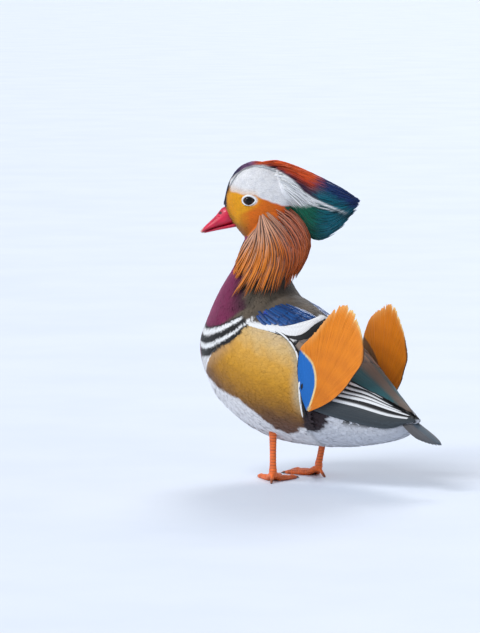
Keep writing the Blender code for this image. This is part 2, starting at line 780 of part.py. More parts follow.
def make_tail(rng, frames):
    tail = loft("tail", frames.body.rings(0, 0.84, 5, 16, -0.5), frames.duck)
    pitch = math.radians(TAIL_PITCH)
    for i in range(TAIL_FEATHERS):
        middle = (TAIL_FEATHERS - 1) / 2
        turn = math.radians((i - middle) / middle * TAIL_SPREAD)
        level = Vector((math.sin(turn), math.cos(turn), 0))
        ahead = Vector((level.x, level.y * math.cos(pitch), -level.y * math.sin(pitch)))
        length = TAIL_LENGTH * (1 - 0.3 * (abs(i - middle) / middle) ** 1.4)
        drop = Vector((0, 0, -0.75 * abs(i - middle)))
        centres = [TAIL_ROOT + drop + ahead * length * s for s in (0.06, 0.4, 0.7, 0.92, 1)]
        normal = Vector((0, math.sin(pitch), math.cos(pitch)))
        lean = math.copysign(0.22, i - middle) * (i != middle)
        vane(centres, [normal] * 4, [2.6, 4.2, 4.6, 3.0], 1.0, frames.pieces, lean)
    for i in range(3):
        turn = math.radians((i - 1) * 14)
        start = Vector((0, 126, 52))
        ahead = Vector((math.sin(turn), math.cos(turn), 0))
        centres = [start + ahead * length for length in (0, 9, 16, 20)]
        vane(centres, [Vector((0, 0, 1))] * 3, [5, 6, 4], 3.0, frames.pieces)
    fuse(tail, frames.pieces)
    return tail


def make_leg(frames, name, ankle, knee, blockers):
    shares = (0, 0.14, 0.35, 0.6, 0.8, 1)
    sizes = ((2.7, 3.3), (2.4, 3.0), (2.4, 3.0), (2.7, 3.4), (3.6, 4.2), (4.2, 4.8))
    centres = [mix(ankle + Vector((0, 0, ANKLE_TOP - 2)), knee, share) for share in shares]
    leg = tube("leg_" + name, centres, sizes, Vector((0, 1, 0)), 12, frames.duck)
    top = ANKLE_TOP + GAP
    below = prism("below_ankle", ((-200, -40), (200, -40), (200, top), (-200, top)), Vector(),
                  Vector((0, 1, 0)), Vector((1, 0, 0)), (-100, 100), frames.cutters)
    trim(leg, [below] + blockers)
    return leg


def toe_path(ankle, heading, length, high, radius):
    shares = (0, 0.14, 0.3, 0.5, 0.74, 0.82, 1)
    rises = (high, high * 0.8, high * 0.42, radius, radius * 0.8, radius * 0.88, radius * 0.55)
    centres = [ankle + heading * length * s + Vector((0, 0, z - 0.3)) for s, z in zip(shares, rises)]
    grow = (1.1, 1.05, 1.0, 1.03, 0.82, 0.92, 0.6)
    return centres, [(radius * g, radius * g) for g in grow]


def make_foot(frames, name, way, ankle, turn):
    up = Vector((0, 0, 1))
    top = ankle + up * ANKLE_TOP
    foot = tube("foot_" + name, [top, top - up * 4, top - up * 8.5], [(2.7, 3.3), (3.2, 3.6), (2.2, 2.6)],
                Vector((0, 1, 0)), 12, frames.duck)
    paths = []
    for i, length in enumerate(TOE_LENGTHS):
        heading = math.radians(turn * way + (1 - i) * way * TOE_FAN)
        ahead = Vector((-math.sin(heading), -math.cos(heading), 0))
        centres, sizes = toe_path(ankle, ahead, length, 7.5, 2.6)
        tube("toe", centres, sizes, up, 6, frames.pieces)
        tip = centres[-1]
        claw = [tip - ahead, tip + ahead * 2.2 + up * 0.3, tip + ahead * CLAW_LENGTH - up * 0.7]
        tube("claw", claw, [(1.1, 1.2), (0.8, 1.0), (0.15, 0.2)], up, 5, frames.pieces)
        paths.append(centres)
    back = Vector((math.sin(math.radians(turn * way)), math.cos(math.radians(turn * way)), 0))
    hind = [ankle + up * 8, ankle + back * 4 + up * 5, ankle + back * HIND_TOE + up * 1.2,
            ankle + back * (HIND_TOE + 3.5) + up * 0.1]
    tube("hind_toe", hind, [(1.6, 1.6), (1.5, 1.5), (1.2, 1.3), (0.2, 0.3)], up, 6, frames.pieces)
    for first, second in zip(paths, paths[1:]):
        make_web(first, second, frames.pieces)
    fuse(foot, frames.pieces)
    floor = prism("floor", ((-200, -40), (200, -40), (200, 0), (-200, 0)), Vector(), Vector((0, 1, 0)),
                  Vector((1, 0, 0)), (-100, 100), frames.cutters)
    trim(foot, [floor])
    return foot


def make_web(first, second, collection):
    """Skin between two toes, its front edge drawn back in a curve."""
    rows, columns = 5, 4

    def place(i, j, level, rim):
        reach = 0.93 - 0.26 * math.sin(math.pi * j / columns)
        t = (len(first) - 1) * reach * i / rows
        at = mix(spline(first, t), spline(second, t), j / columns)
        return Vector((at.x, at.y, max(at.z * 0.8, 0.95) + (-0.5 if level else 0.5)))

    return sheet("web", rows, columns, place, collection)


def centre_on_floor(collection):
    """Moves everything so that the box round the duck stands centred on the origin."""
    points = [vertex.co for thing in collection.objects for vertex in thing.data.vertices]
    low = [min(point[i] for point in points) for i in range(3)]
    high = [max(point[i] for point in points) for i in range(3)]
    shift = Vector((-(low[0] + high[0]) / 2, -(low[1] + high[1]) / 2, -low[2]))
    print("moved by", [round(value / MM, 3) for value in shift])
    for thing in collection.objects:
        thing.data.transform(Matrix.Translation(shift))


def dress(collection):
    """Gives each piece a material of its own and shades it smooth up to an edge of 40 degrees."""
    for thing in collection.objects:
        colour, roughness = LOOKS[thing.name.split("_")[0]]
        material = bpy.data.materials.new(thing.name)
        material.use_nodes = True
        shader = material.node_tree.nodes["Principled BSDF"]
        shader.inputs["Base Color"].default_value = (*colour, 1)
        shader.inputs["Roughness"].default_value = roughness
        shader.inputs["Metallic"].default_value = 0
        thing.data.materials.clear()
        thing.data.materials.append(material)
        thing.data.shade_smooth()
        thing.data.set_sharp_from_angle(angle=math.radians(40))


def main():
    clear_scene()
    frames = Frames()
    torso = loft("torso", frames.body.rings(0.9, NECK_FROM, 19, 26), frames.duck)
    head, eyes = make_head(frames)
    neck = loft("neck", frames.body.rings(NECK_FROM + 0.05, 11.9, 6, 26), frames.duck)
    trim(neck, [frames.cutter(head)])
    make_bill(frames, head)
    settled(make_crest, 10, 2100, frames, head)
    cut_torso, cut_neck, cut_head = frames.cutter(torso), frames.cutter(neck), frames.cutter(head)
    settled(make_tail, 20, 800, frames)
    cut_rump = loft("rump", frames.body.rings(0, 0.84, 5, 16), frames.cutters)
    for name, way in (("left", 1), ("right", -1)):
        settled(make_ruff, 30 - way, 1300, frames, name, way, [cut_torso, cut_neck, cut_head])
        flank = settled(make_flank, 50 - way, 1000, frames, name, way, [cut_torso])
        cut_flank = frames.cutter(flank)
        sail = settled(make_sail, 70 - way, 360, frames, name, way, [cut_torso, cut_flank])
        cut_sail = frames.cutter(sail)
        scapulars = settled(make_scapulars, 90 - way, 480, frames, name, way,
                            [cut_torso, cut_flank, cut_sail])
        cut_scapulars = frames.cutter(scapulars)
        settled(make_wing, 110 - way, 1350, frames, name, way,
                [cut_torso, cut_rump, cut_flank, cut_sail, cut_scapulars])
    make_leg(frames, "left", LEFT_ANKLE, LEFT_ANKLE + Vector((0, 0, 58)), [cut_torso])
    make_leg(frames, "right", RIGHT_ANKLE, RIGHT_ANKLE + Vector((-3, 9, 58)), [cut_torso])
    lighten(make_foot(frames, "left", 1, LEFT_ANKLE, LEFT_TOES_TURN), 650)
    lighten(make_foot(frames, "right", -1, RIGHT_ANKLE, -RIGHT_TOES_TURN), 650)
    centre_on_floor(frames.duck)
    dress(frames.duck)
    for cutter in frames.cutters.objects:
        cutter.hide_render = True
        cutter.display_type = "WIRE"


main()
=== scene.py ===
import json
import math

import bpy
import numpy as np
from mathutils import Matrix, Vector
from mathutils.kdtree import KDTree

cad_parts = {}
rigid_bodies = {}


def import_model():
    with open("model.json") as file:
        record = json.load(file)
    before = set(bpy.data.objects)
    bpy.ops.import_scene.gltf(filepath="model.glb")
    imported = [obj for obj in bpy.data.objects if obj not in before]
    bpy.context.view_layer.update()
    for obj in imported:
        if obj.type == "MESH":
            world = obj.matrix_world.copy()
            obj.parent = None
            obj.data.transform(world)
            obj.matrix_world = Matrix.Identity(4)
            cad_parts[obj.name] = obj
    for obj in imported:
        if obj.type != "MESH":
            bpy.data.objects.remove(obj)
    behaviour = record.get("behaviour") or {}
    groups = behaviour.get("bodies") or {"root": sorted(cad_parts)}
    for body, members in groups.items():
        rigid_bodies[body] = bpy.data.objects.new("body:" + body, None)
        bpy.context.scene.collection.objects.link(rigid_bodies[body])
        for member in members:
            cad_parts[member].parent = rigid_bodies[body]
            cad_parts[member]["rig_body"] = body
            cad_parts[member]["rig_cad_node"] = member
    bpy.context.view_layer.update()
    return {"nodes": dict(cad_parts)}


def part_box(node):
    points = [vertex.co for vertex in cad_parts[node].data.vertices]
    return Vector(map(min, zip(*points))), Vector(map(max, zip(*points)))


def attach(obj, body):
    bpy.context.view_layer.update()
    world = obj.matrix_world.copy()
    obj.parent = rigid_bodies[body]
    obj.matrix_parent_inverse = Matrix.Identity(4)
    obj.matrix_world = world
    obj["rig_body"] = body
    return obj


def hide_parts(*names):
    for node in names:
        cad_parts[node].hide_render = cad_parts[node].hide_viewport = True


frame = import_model()
print("frame loaded")

floorShift = np.array((-0.019, -41.367, 0.009))  # what centred the solids on their floor
upward = np.array((0.0, 0.0, 1.0))


# small tools

def paint(red, green, blue):
    share = np.array((red, green, blue)) / 255
    return np.where(share < 0.04, share / 12.92, ((share + 0.055) / 1.055) ** 2.4)


def between(a, b, share):
    return a + (b - a) * share


def ease(low, high, value):
    share = np.clip((value - low) / (high - low), 0, 1)
    return share * share * (3 - 2 * share)


def over(colour, other, mask):
    return colour + (other - colour) * np.asarray(mask)[..., None]


def ramp(value, stops):
    # a colour for each value, from (value, colour) stops
    places = [stop[0] for stop in stops]
    return np.stack([np.interp(value, places, [stop[1][k] for stop in stops]) for k in range(3)], -1)


def ripple(x, y, size):
    # smooth unevenness between -1 and 1
    x, y = x / size, y / size
    return (np.sin(x * 2.1 + 1.3 * np.sin(y * 1.7)) + np.sin(y * 2.7 + 1.1 * np.sin(x * 1.9 + 2))
            + np.sin((x + y) * 1.3 + 4)) / 3


def depthIn(outline, x, y):
    # how far inside an outline each place is, negative outside it
    best, inside = np.full(x.shape, 1e9), np.zeros(x.shape, bool)
    for (ax, ay), (bx, by) in zip(outline, outline[1:] + outline[:1]):
        ex, ey = bx - ax, by - ay
        share = np.clip(((x - ax) * ex + (y - ay) * ey) / (ex * ex + ey * ey), 0, 1)
        best = np.minimum(best, np.hypot(x - ax - share * ex, y - ay - share * ey))
        inside ^= ((ay > y) != (by > y)) & (x < ax + ex * (y - ay) / (ey or 1e-9))
    return np.where(inside, best, -best)


def unit(vectors):
    return vectors / np.maximum(np.linalg.norm(vectors, axis=-1, keepdims=True), 1e-9)


def curveThrough(values, t):
    # a Catmull-Rom curve through evenly spaced values, carried straight on before the first
    values = np.asarray(values, float)
    last = len(values) - 1

    def at(place):
        place = np.clip(place, 0, last)
        i = np.minimum(place.astype(int), last - 1)
        f = (place - i)[:, None]
        a, b = values[np.maximum(i - 1, 0)], values[i]
        c, d = values[i + 1], values[np.minimum(i + 2, last)]
        return (b * 2 + (c - a) * f + (a * 2 - b * 5 + c * 4 - d) * f ** 2 + (b * 3 - a - c * 3 + d)
                * f ** 3) / 2

    slope = (at(np.array([0.0])) - at(np.array([0.1]))) * 10
    return at(t) + slope * np.maximum(-t, 0)[:, None]


class Form:
    # A rounded form between an upper and a lower rail. t counts its stations and degrees go round it,
    # 0 on the upper rail and 90 on the left side.
    def __init__(self, stations, place=(0, 0, 0), forward=(0, 1, 0), left=(1, 0, 0), squares=(2, 2)):
        self.last, self.squares, self.left = len(stations) - 1, squares, np.array(left, float)
        self.t = np.linspace(-2.0, self.last, 1500)
        rails = [np.array(place) + np.outer([s[k][0] for s in stations], forward)
                 + np.outer([s[k][1] for s in stations], upward) for k in (0, 1)]
        self.upper, self.lower = (curveThrough(rail, self.t) for rail in rails)
        self.width = curveThrough([[s[2]] for s in stations], self.t)

    def rails(self, t):
        return [np.stack([np.interp(t, self.t, rail[:, k]) for k in range(rail.shape[1])], -1)
                for rail in (self.upper, self.lower, self.width)]

    def point(self, t, degrees, lift=None):
        t, degrees = np.broadcast_arrays(np.asarray(t, float), np.asarray(degrees, float))
        upper, lower, width = self.rails(t)
        c, s = np.cos(np.radians(degrees)), np.sin(np.radians(degrees))
        power = np.where(c > 0, 2 / self.squares[0], 2 / self.squares[1])
        c, s = np.sign(c) * np.abs(c) ** power, np.sign(s) * np.abs(s) ** power
        at = (upper + lower) / 2 + (upper - lower) / 2 * c[..., None] + self.left * width * s[..., None]
        return at if lift is None else at + self.normal(t, degrees) * np.asarray(lift)[..., None]

    def normal(self, t, degrees):
        t, degrees = np.broadcast_arrays(np.asarray(t, float), np.asarray(degrees, float))
        t = np.clip(t, 0.02, self.last - 0.02)
        along = self.point(t + 0.02, degrees) - self.point(t - 0.02, degrees)
        around = self.point(t, degrees + 1.2) - self.point(t, degrees - 1.2)
        out = unit(np.cross(along, around))
        upper, lower, _ = self.rails(t)
        facing = np.sum(out * (self.point(t, degrees) - (upper + lower) / 2), -1, keepdims=True)
        return np.where(facing > 0, out, -out)

    def pace(self, t, degrees):
        # millimetres to one station here
        return np.linalg.norm(self.point(t + 0.05, degrees) - self.point(t - 0.05, degrees), axis=-1) * 10


def makeMesh(name, points, faces, colours=None, vane=None, gloss=None, patches=None, smooth=True):
    # a mesh object from millimetres, with its colours and feather coordinates as attributes
    mesh = bpy.data.meshes.new(name)
    faces = np.asarray(faces, np.int32)
    mesh.vertices.add(len(points))
    mesh.vertices.foreach_set("co", ((points + floorShift) * 0.001).astype(np.float32).ravel())
    mesh.loops.add(faces.size)
    mesh.loops.foreach_set("vertex_index", faces.ravel())
    mesh.polygons.add(len(faces))
    mesh.polygons.foreach_set("loop_start", np.arange(len(faces), dtype=np.int32) * faces.shape[1])
    mesh.update(calc_edges=True)
    mesh.polygons.foreach_set("use_smooth", np.full(len(faces), smooth))
    made = bpy.data.objects.new(name, mesh)
    bpy.context.scene.collection.objects.link(made)
    record(made, colours, vane, gloss)
    if patches is not None:
        layer = mesh.uv_layers.new(name="OFBake")
        layer.data.foreach_set("uv", patches[faces.ravel()].astype(np.float32).ravel())
    return made


def record(thing, colours=None, vane=None, gloss=None):
    mesh = thing.data
    if colours is not None:
        rgba = np.concatenate([colours, np.ones((len(colours), 1))], 1).astype(np.float32)
        mesh.attributes.new("tint", "FLOAT_COLOR", "POINT").data.foreach_set("color", rgba.ravel())
    if vane is not None:
        mesh.attributes.new("vane", "FLOAT_VECTOR", "POINT").data.foreach_set("vector",
            vane.astype(np.float32).ravel())
    if gloss is not None:
        mesh.attributes.new("gloss", "FLOAT", "POINT").data.foreach_set("value", gloss.astype(np.float32))


def pointsOf(thing):
    found = np.empty(len(thing.data.vertices) * 3, np.float32)
    thing.data.vertices.foreach_get("co", found)
    return found.reshape(-1, 3).astype(float) * 1000 - floorShift


def setPoints(thing, points):
    thing.data.vertices.foreach_set("co", ((points + floorShift) * 0.001).astype(np.float32).ravel())
    thing.data.update()


def settle(thing, slotName, *nodes):
    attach(thing, "root")
    if nodes:
        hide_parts(*nodes)
    return thing


# the forms under the feathers, with the sizes of the solids

bodyStations = (
    ((134, 64), (137, 56), 7), ((118, 74.5), (124, 45), 18), ((93, 94), (98, 38), 29),
    ((66, 115.5), (66, 33), 41), ((40, 137), (30, 32), 50), ((20, 148.5), (-10, 36), 57),
    ((5, 155), (-45, 52), 58.5), ((-4, 160), (-72, 78), 56), ((-9, 166), (-86, 107), 49),
    ((-13, 174), (-81, 136), 39), ((-17, 185), (-72, 160), 30), ((-19, 198), (-60, 182), 21),
    ((-20, 212), (-52, 202), 17), ((-20, 232), (-50, 226), 15))
headStations = (
    ((-33, 250), (-31, 232), 8), ((-26, 263), (-27, 216), 15), ((-14, 271), (-17, 207), 18.5),
    ((0, 274.5), (-4, 206), 20), ((12, 270), (7, 209), 18.5), ((20.5, 259), (13, 215), 15),
    ((25, 247), (17, 220), 11), ((27.5, 238), (20, 223), 8))
ruffStations = (
    ((8, 232), (-24, 244), 21.5), ((11.5, 216), (-38, 228), 24.5), ((13, 202), (-46, 208), 27),
    ((15.5, 188), (-44, 192), 28.5), ((21, 174), (-37, 178), 30), ((30, 161), (-33, 165), 34),
    ((37, 149), (-28, 152), 37))
crestStations = (
    ((-4, 278), (-14, 243), 20.5), ((-18, 277), (-30, 237), 19.5), ((-31, 273.5), (-41, 225), 16.5),
    ((-48, 266.5), (-50, 212), 13), ((-65, 258), (-60, 211), 9.5), ((-78, 250.5), (-74, 221), 6),
    ((-87, 244), (-85, 233), 2.5), ((-92, 241), (-91, 238), 0.8))
crestCore = (
    ((-8, 275), (-20, 242), 18), ((-24, 270), (-34, 234), 16.5), ((-38, 264), (-45, 222), 12.5),
    ((-51, 257), (-55, 218), 8.5), ((-61, 249), (-64, 226), 4.5), ((-66, 243), (-67, 234), 1.5))
headPlace = np.array((6.0, -39.0, 0.0))
headTurn = math.radians(42)
ahead = np.array((math.sin(headTurn), -math.cos(headTurn), 0.0))
across = np.array((math.cos(headTurn), math.sin(headTurn), 0.0))

body = Form(bodyStations, squares=(1.78, 2.3))
head, ruff, crest, crestRoot = (Form(stations, headPlace, ahead, across)
                                for stations in (headStations, ruffStations, crestStations, crestCore))


def onHead(points):
    # forward, sideways and upward along the turned head
    level = points - headPlace
    return level @ ahead, level @ across, points[..., 2]


def inHead(forward, side, height):
    forward, side, height = (np.asarray(v, float)[..., None] for v in (forward, side, height))
    return headPlace + ahead * forward + across * side + upward * height


# markings

tones = {name: paint(*rgb) for name, rgb in {
    "mantle": (94, 82, 68), "mantleDark": (50, 44, 36), "rump": (44, 46, 44), "belly": (226, 226, 230),
    "vent": (205, 208, 216), "breast": (114, 16, 70), "breastLit": (154, 34, 100), "breastDark": (58, 10, 36),
    "black": (10, 11, 16), "white": (238, 240, 242), "blue": (12, 72, 190), "blueDark": (8, 36, 92),
    "flankRim": (178, 166, 140), "flankFront": (176, 140, 100), "dark": (36, 20, 28),
    "gold": (246, 170, 10), "orange": (234, 114, 6), "chin": (168, 104, 30), "face": (240, 240, 242),
    "faceGrey": (216, 219, 228), "rust": (226, 84, 12), "rustDeep": (178, 52, 14), "plum": (66, 24, 56),
    "mauve": (126, 84, 132), "navy": (20, 26, 66), "royal": (12, 46, 104), "teal": (0, 104, 122),
    "green": (0, 106, 78), "tealDark": (6, 42, 50)}.items()}

# flank colours from its top (44 degrees) to its underside (128); the pale top and the dark brown underneath
# are partly the flank's own colour and partly painted light from above and painted shade beneath
flankRows = [(44, paint(206, 184, 148)), (58, paint(212, 176, 112)), (70, paint(212, 158, 60)),
             (86, paint(196, 140, 28)), (98, paint(168, 116, 20)), (107, paint(136, 92, 26)),
             (116, paint(104, 68, 36)), (128, paint(96, 62, 46))]
bodyOutlines = {name: [(t * 22, degrees * 0.95) for t, degrees in outline] for name, outline in {
    "blue": ((6.3, 43), (6.3, 36), (5.9, 29), (5.5, 24), (5.05, 16), (4.6, 12), (4.35, 10), (4.4, 26),
             (4.9, 36), (5.8, 44)),
    "band": ((6.6, 54), (6.45, 50), (5.8, 44), (4.9, 36), (4.4, 26), (4.3, 10), (4.5, -2), (3.9, -2),
             (3.9, 20), (4.0, 34), (4.3, 48), (4.65, 44), (5.4, 44.5)),
    "blackBand": ((4.3, 48), (4.0, 34), (3.9, 20), (3.9, -2), (3.7, -2), (3.7, 22), (3.8, 36), (4.1, 47)),
    "flank": ((6.32, 54), (6.15, 51), (5.3, 46), (4.6, 44), (4.15, 48), (3.85, 54), (3.6, 66), (3.5, 86),
              (3.4, 104), (3.35, 118), (4.06, 136.2), (4.29, 131.4), (4.53, 123.6), (4.83, 115.6),
              (5.33, 110), (5.8, 112.6), (6.41, 117.4), (6.91, 120),
              (6.97, 90), (6.5, 76)),
    "patch": ((3.45, 100), (3.2, 84), (2.75, 84), (2.7, 100), (2.9, 116), (3.2, 128), (3.45, 126))}.items()}


def bandTop(degrees, first, last):
    # the station of a breast band's edge, from its top at 50 degrees to its foot at 118
    bow = 0.15 * np.sin(math.pi * np.clip((degrees - 50) / 68, 0, 1))
    return between(first, last, (degrees - 50) / 68) - bow


def bodyColour(t, degrees):
    degrees = np.abs(degrees)
    x, y = t * 22, degrees * 0.95
    wave = ripple(x, y, 4.0)
    colour = over(np.broadcast_to(tones["mantle"], t.shape + (3,)), tones["mantleDark"],
                  ease(-0.5, 0.7, ripple(x, y, 8.0)) * 0.55 + 0.3 * ease(7.5, 9.5, t))
    colour = over(colour, tones["rump"], ease(4.1, 3.4, t))
    colour = over(colour, tones["belly"], ease(88, 94, degrees + wave * 2)
                  * ease(7.75, 7.45, t + wave * 0.05) * ease(3.3, 3.5, t))
    colour = over(colour, tones["vent"], ease(3.5, 3.3, t) * ease(94, 101, degrees))
    border = np.interp(t, (6.3, 6.8, 7.3, 8.25, 9.3, 12), (60, 50, 46, 51, 58, 62))
    inBreast = ease(border - 5, border + 5, degrees + wave * 3) * ease(7.4, 7.7, t + wave * 0.05)
    breast = over(np.broadcast_to(tones["breastDark"], t.shape + (3,)), tones["breast"],
                  ease(border, border + 26, degrees))
    # the lighter magenta low on the front of the breast is painted rim light
    breast = over(breast, tones["breastLit"], ease(84, 128, degrees) * 0.75)
    colour = over(colour, breast, inBreast)
    inFlank = depthIn(bodyOutlines["flank"], x, y)
    flank = ramp(degrees + wave * 2.5, flankRows)
    front = bandTop(degrees, 6.25, 7.38) - t
    flank = over(flank, tones["flankFront"], ease(0.55, 0.02, front) * ease(60, 90, degrees) * 0.75)
    rear = t - np.interp(degrees, (44, 48, 54, 66, 86, 104, 130), (4.6, 4.15, 3.85, 3.6, 3.5, 3.4, 3.4))
    flank = over(flank, tones["flankRim"], ease(0.42, 0.04, rear) * ease(112, 92, degrees) * 0.85)
    colour = over(colour, flank, ease(-0.7, 0.7, inFlank + wave * 1.6 * ease(112, 124, degrees)))
    line = ease(-1.3, -0.9, inFlank) * ease(0.5, 0.1, inFlank) * (rear < 0.25) * ease(118, 108, degrees)
    colour = over(colour, tones["white"], line * ease(-0.9, -0.5, inFlank))
    outer = ease(-2.6, -2.2, inFlank) * ease(-0.7, -1.1, inFlank) * (rear < 0.25) * ease(120, 110, degrees)
    colour = over(colour, tones["black"], outer)
    ends = ease(127, 122, degrees + wave * 1.5)
    edges = [bandTop(degrees, *pair) for pair in
             ((6.25, 7.38), (6.45, 7.7), (6.58, 7.92), (6.92, 8.22), (7.13, 8.5), (7.22, 8.62))]
    for i, (name, top) in enumerate((("black", 50), ("white", 46), ("black", 52), ("white", 54),
                                     ("black", 54))):
        inBand = ease(edges[i] - 0.012, edges[i] + 0.012, t) * ease(edges[i + 1] + 0.012,
                                                                    edges[i + 1] - 0.012, t)
        colour = over(colour, tones[name], inBand * ends * ease(top - 1.5, top + 1.5, degrees))
    blue = over(np.broadcast_to(tones["blue"], t.shape + (3,)), tones["blueDark"],
                ease(0.2, 0.8, ripple(x, y, 2.6)) * 0.7)
    colour = over(colour, blue, ease(-0.5, 0.5, depthIn(bodyOutlines["blue"], x, y)))
    colour = over(colour, tones["black"], ease(-0.4, 0.4, depthIn(bodyOutlines["blackBand"], x, y)))
    colour = over(colour, tones["white"], ease(-0.4, 0.4, depthIn(bodyOutlines["band"], x, y)))
    return over(colour, tones["dark"], ease(-0.8, 0.8, depthIn(bodyOutlines["patch"], x, y) + wave * 1.5))


faceOutlines = {
    "white": [(22.1, 255.9), (21.6, 259.9), (16.6, 265.5), (8.6, 271), (0.6, 273.5), (-7.4, 273.5),
              (-17.4, 270.4),
              (-28.4, 264.4), (-36.4, 258), (-42.3, 250.9), (-49.3, 245.9), (-80.3, 230.9), (-65.3, 236.2),
              (-53.3, 240.9), (-55.3, 237.3), (-47.9, 238.9), (-41.3, 237.8), (-34.8, 238.4), (-29.3, 237.8),
              (-23.3, 238.4), (-13.4, 241.9), (-5.4, 244.8), (0, 247.6), (10.4, 247.8), (16.5, 249.5),
              (21.9, 250.8)],
    "gold": [(21.9, 251.5), (16.5, 250), (10.4, 248), (0, 247.6), (-5.2, 245), (-9.6, 242.8), (-2.6, 236.7),
             (6.1, 234), (13.1, 230.6), (14.8, 223.6), (20, 229.7), (23.5, 235.4), (25.5, 243), (25, 247.5)],
    "nape": [(-25, 237.8), (-31.3, 229.8), (-38.3, 222.8), (-47.3, 213.8), (-60, 190), (-126, 190),
             (-126, 225),
             (-80.3, 230.9), (-55, 238)],
    "crest": [(29, 234.5), (25, 236.8), (24.8, 246.9), (22.1, 255.9), (21.6, 259.9), (16.6, 265.5),
              (8.6, 271),
              (0.6, 273.5), (-7.4, 273.5), (-17.4, 270.4), (-28.4, 264.4), (-36.4, 258), (-42.3, 250.9),
              (-49.3, 245.9), (-80.3, 230.9), (-126, 207), (-126, 330), (48, 330), (35, 234)]}
crestTop = ((-89, 242), (-78, 250.7), (-65, 258.6), (-48, 267.3), (-30.5, 274.3), (-15, 278.2), (0, 278.2),
            (13, 273.4),
            (20, 266), (26, 250))


def crestColour(u, z):
    wave = ripple(u, z * 2.5, 3.0)
    below = np.interp(u, [p[0] for p in crestTop], [p[1] for p in crestTop]) - z
    front = ramp(u, ((-4, tones["rust"]), (4, tones["mauve"]), (10, tones["mauve"] * 0.7),
                     (17, tones["navy"] * 1.4),
                     (23, tones["navy"] * 0.6)))
    wide = np.interp(u, (-60, -48, -30, -15, 0, 10), (12, 13, 8.5, 4.5, 5, 9))
    colour = over(front, tones["rustDeep"], ease(wide * 0.35, wide * 0.8, below + wave * 1.5)
                  * ease(-8, -20, u))
    colour = over(colour, tones["plum"], ease(wide * 0.8, wide * 1.3, below + wave * 2) * ease(6, -4, u))
    tail = over(np.broadcast_to(tones["royal"], u.shape + (3,)), tones["teal"], ease(5, 15, below + wave * 3))
    colour = over(colour, tail, ease(-50, -64, u - below * 0.25 + wave * 5))
    lower = over(np.broadcast_to(tones["green"], u.shape + (3,)), tones["teal"], ease(-46, -64, u + wave * 4))
    streak = np.interp(u, (-80.3, -49.3, -42.3, -20), (230.9, 245.9, 250.9, 268)) - z
    lower = over(lower, tones["tealDark"], ease(8, 1, streak) * 0.8 + ease(20, 34, streak) * 0.4)
    return over(colour, lower, ease(-1.5, 2.5, streak + wave * 0.6) * ease(-18, -26, u))


def headColour(points):
    u, side, z = onHead(points)
    wave = ripple(u, z, 3.0)
    cheek = ramp(-u + wave * 2, ((-26, tones["chin"]), (-16, tones["gold"] * 0.8), (-4, tones["orange"]),
                                 (14, tones["orange"] * 0.9), (30, tones["rust"])))
    colour = over(cheek, tones["chin"] * 0.8, ease(228, 214, z) * ease(0, 14, u))
    gold = over(np.broadcast_to(tones["gold"], u.shape + (3,)), tones["orange"],
                ease(6, -8, u + (z - 240) * 0.6))
    colour = over(colour, gold, ease(-2.0, 2.0, depthIn(faceOutlines["gold"], u, z)))
    white = over(np.broadcast_to(tones["face"], u.shape + (3,)), tones["faceGrey"],
                 ease(-0.2, 0.9, wave) * 0.35)
    wash = ease(7, 0, depthIn(faceOutlines["gold"], u, z) * -1) * ease(-6, 4, u)
    white = over(white, tones["gold"] * 0.5 + tones["face"] * 0.5, wash * 0.65)
    colour = over(colour, white, ease(-0.7, 1.1, depthIn(faceOutlines["white"], u, z) + wave * 0.4))
    plumed = np.maximum(depthIn(faceOutlines["crest"], u, z), depthIn(faceOutlines["nape"], u, z))
    colour = over(colour, crestColour(u, z), ease(-0.3, 0.5, plumed))
    rear = np.where(u < 5.2, 1.2, 1.0)
    ring = np.hypot((u - 5.2) / (6.0 * rear), (z - 243.3) / 4.7)
    return over(colour, tones["white"], ease(1.1, 0.95, ring))


def crestMarks(points):
    # the white streak and its thin lines lie among the locks
    u, side, z = onHead(points)
    base = np.where((u < -24)[..., None], crestColour(u, z), headColour(points))
    return over(base, tones["white"],
                np.maximum(ease(-0.9, 0.7, depthIn(faceOutlines["white"], u, z)),
                           ease(0.8, 0.3, np.abs(z - np.interp(u, (-68, -40), (233.5, 241.5))))
                           * ease(-72, -64, u) * ease(-38, -44, u)))


def ruffColour(points):
    u, side, z = onHead(points)
    base = over(np.broadcast_to(paint(96, 26, 10), u.shape + (3,)), paint(50, 12, 8),
                ease(-0.4, 0.6, ripple(u, z, 3.0)))
    return over(base, paint(196, 74, 14), ease(212, 226, z) * 0.8)


# shader writing

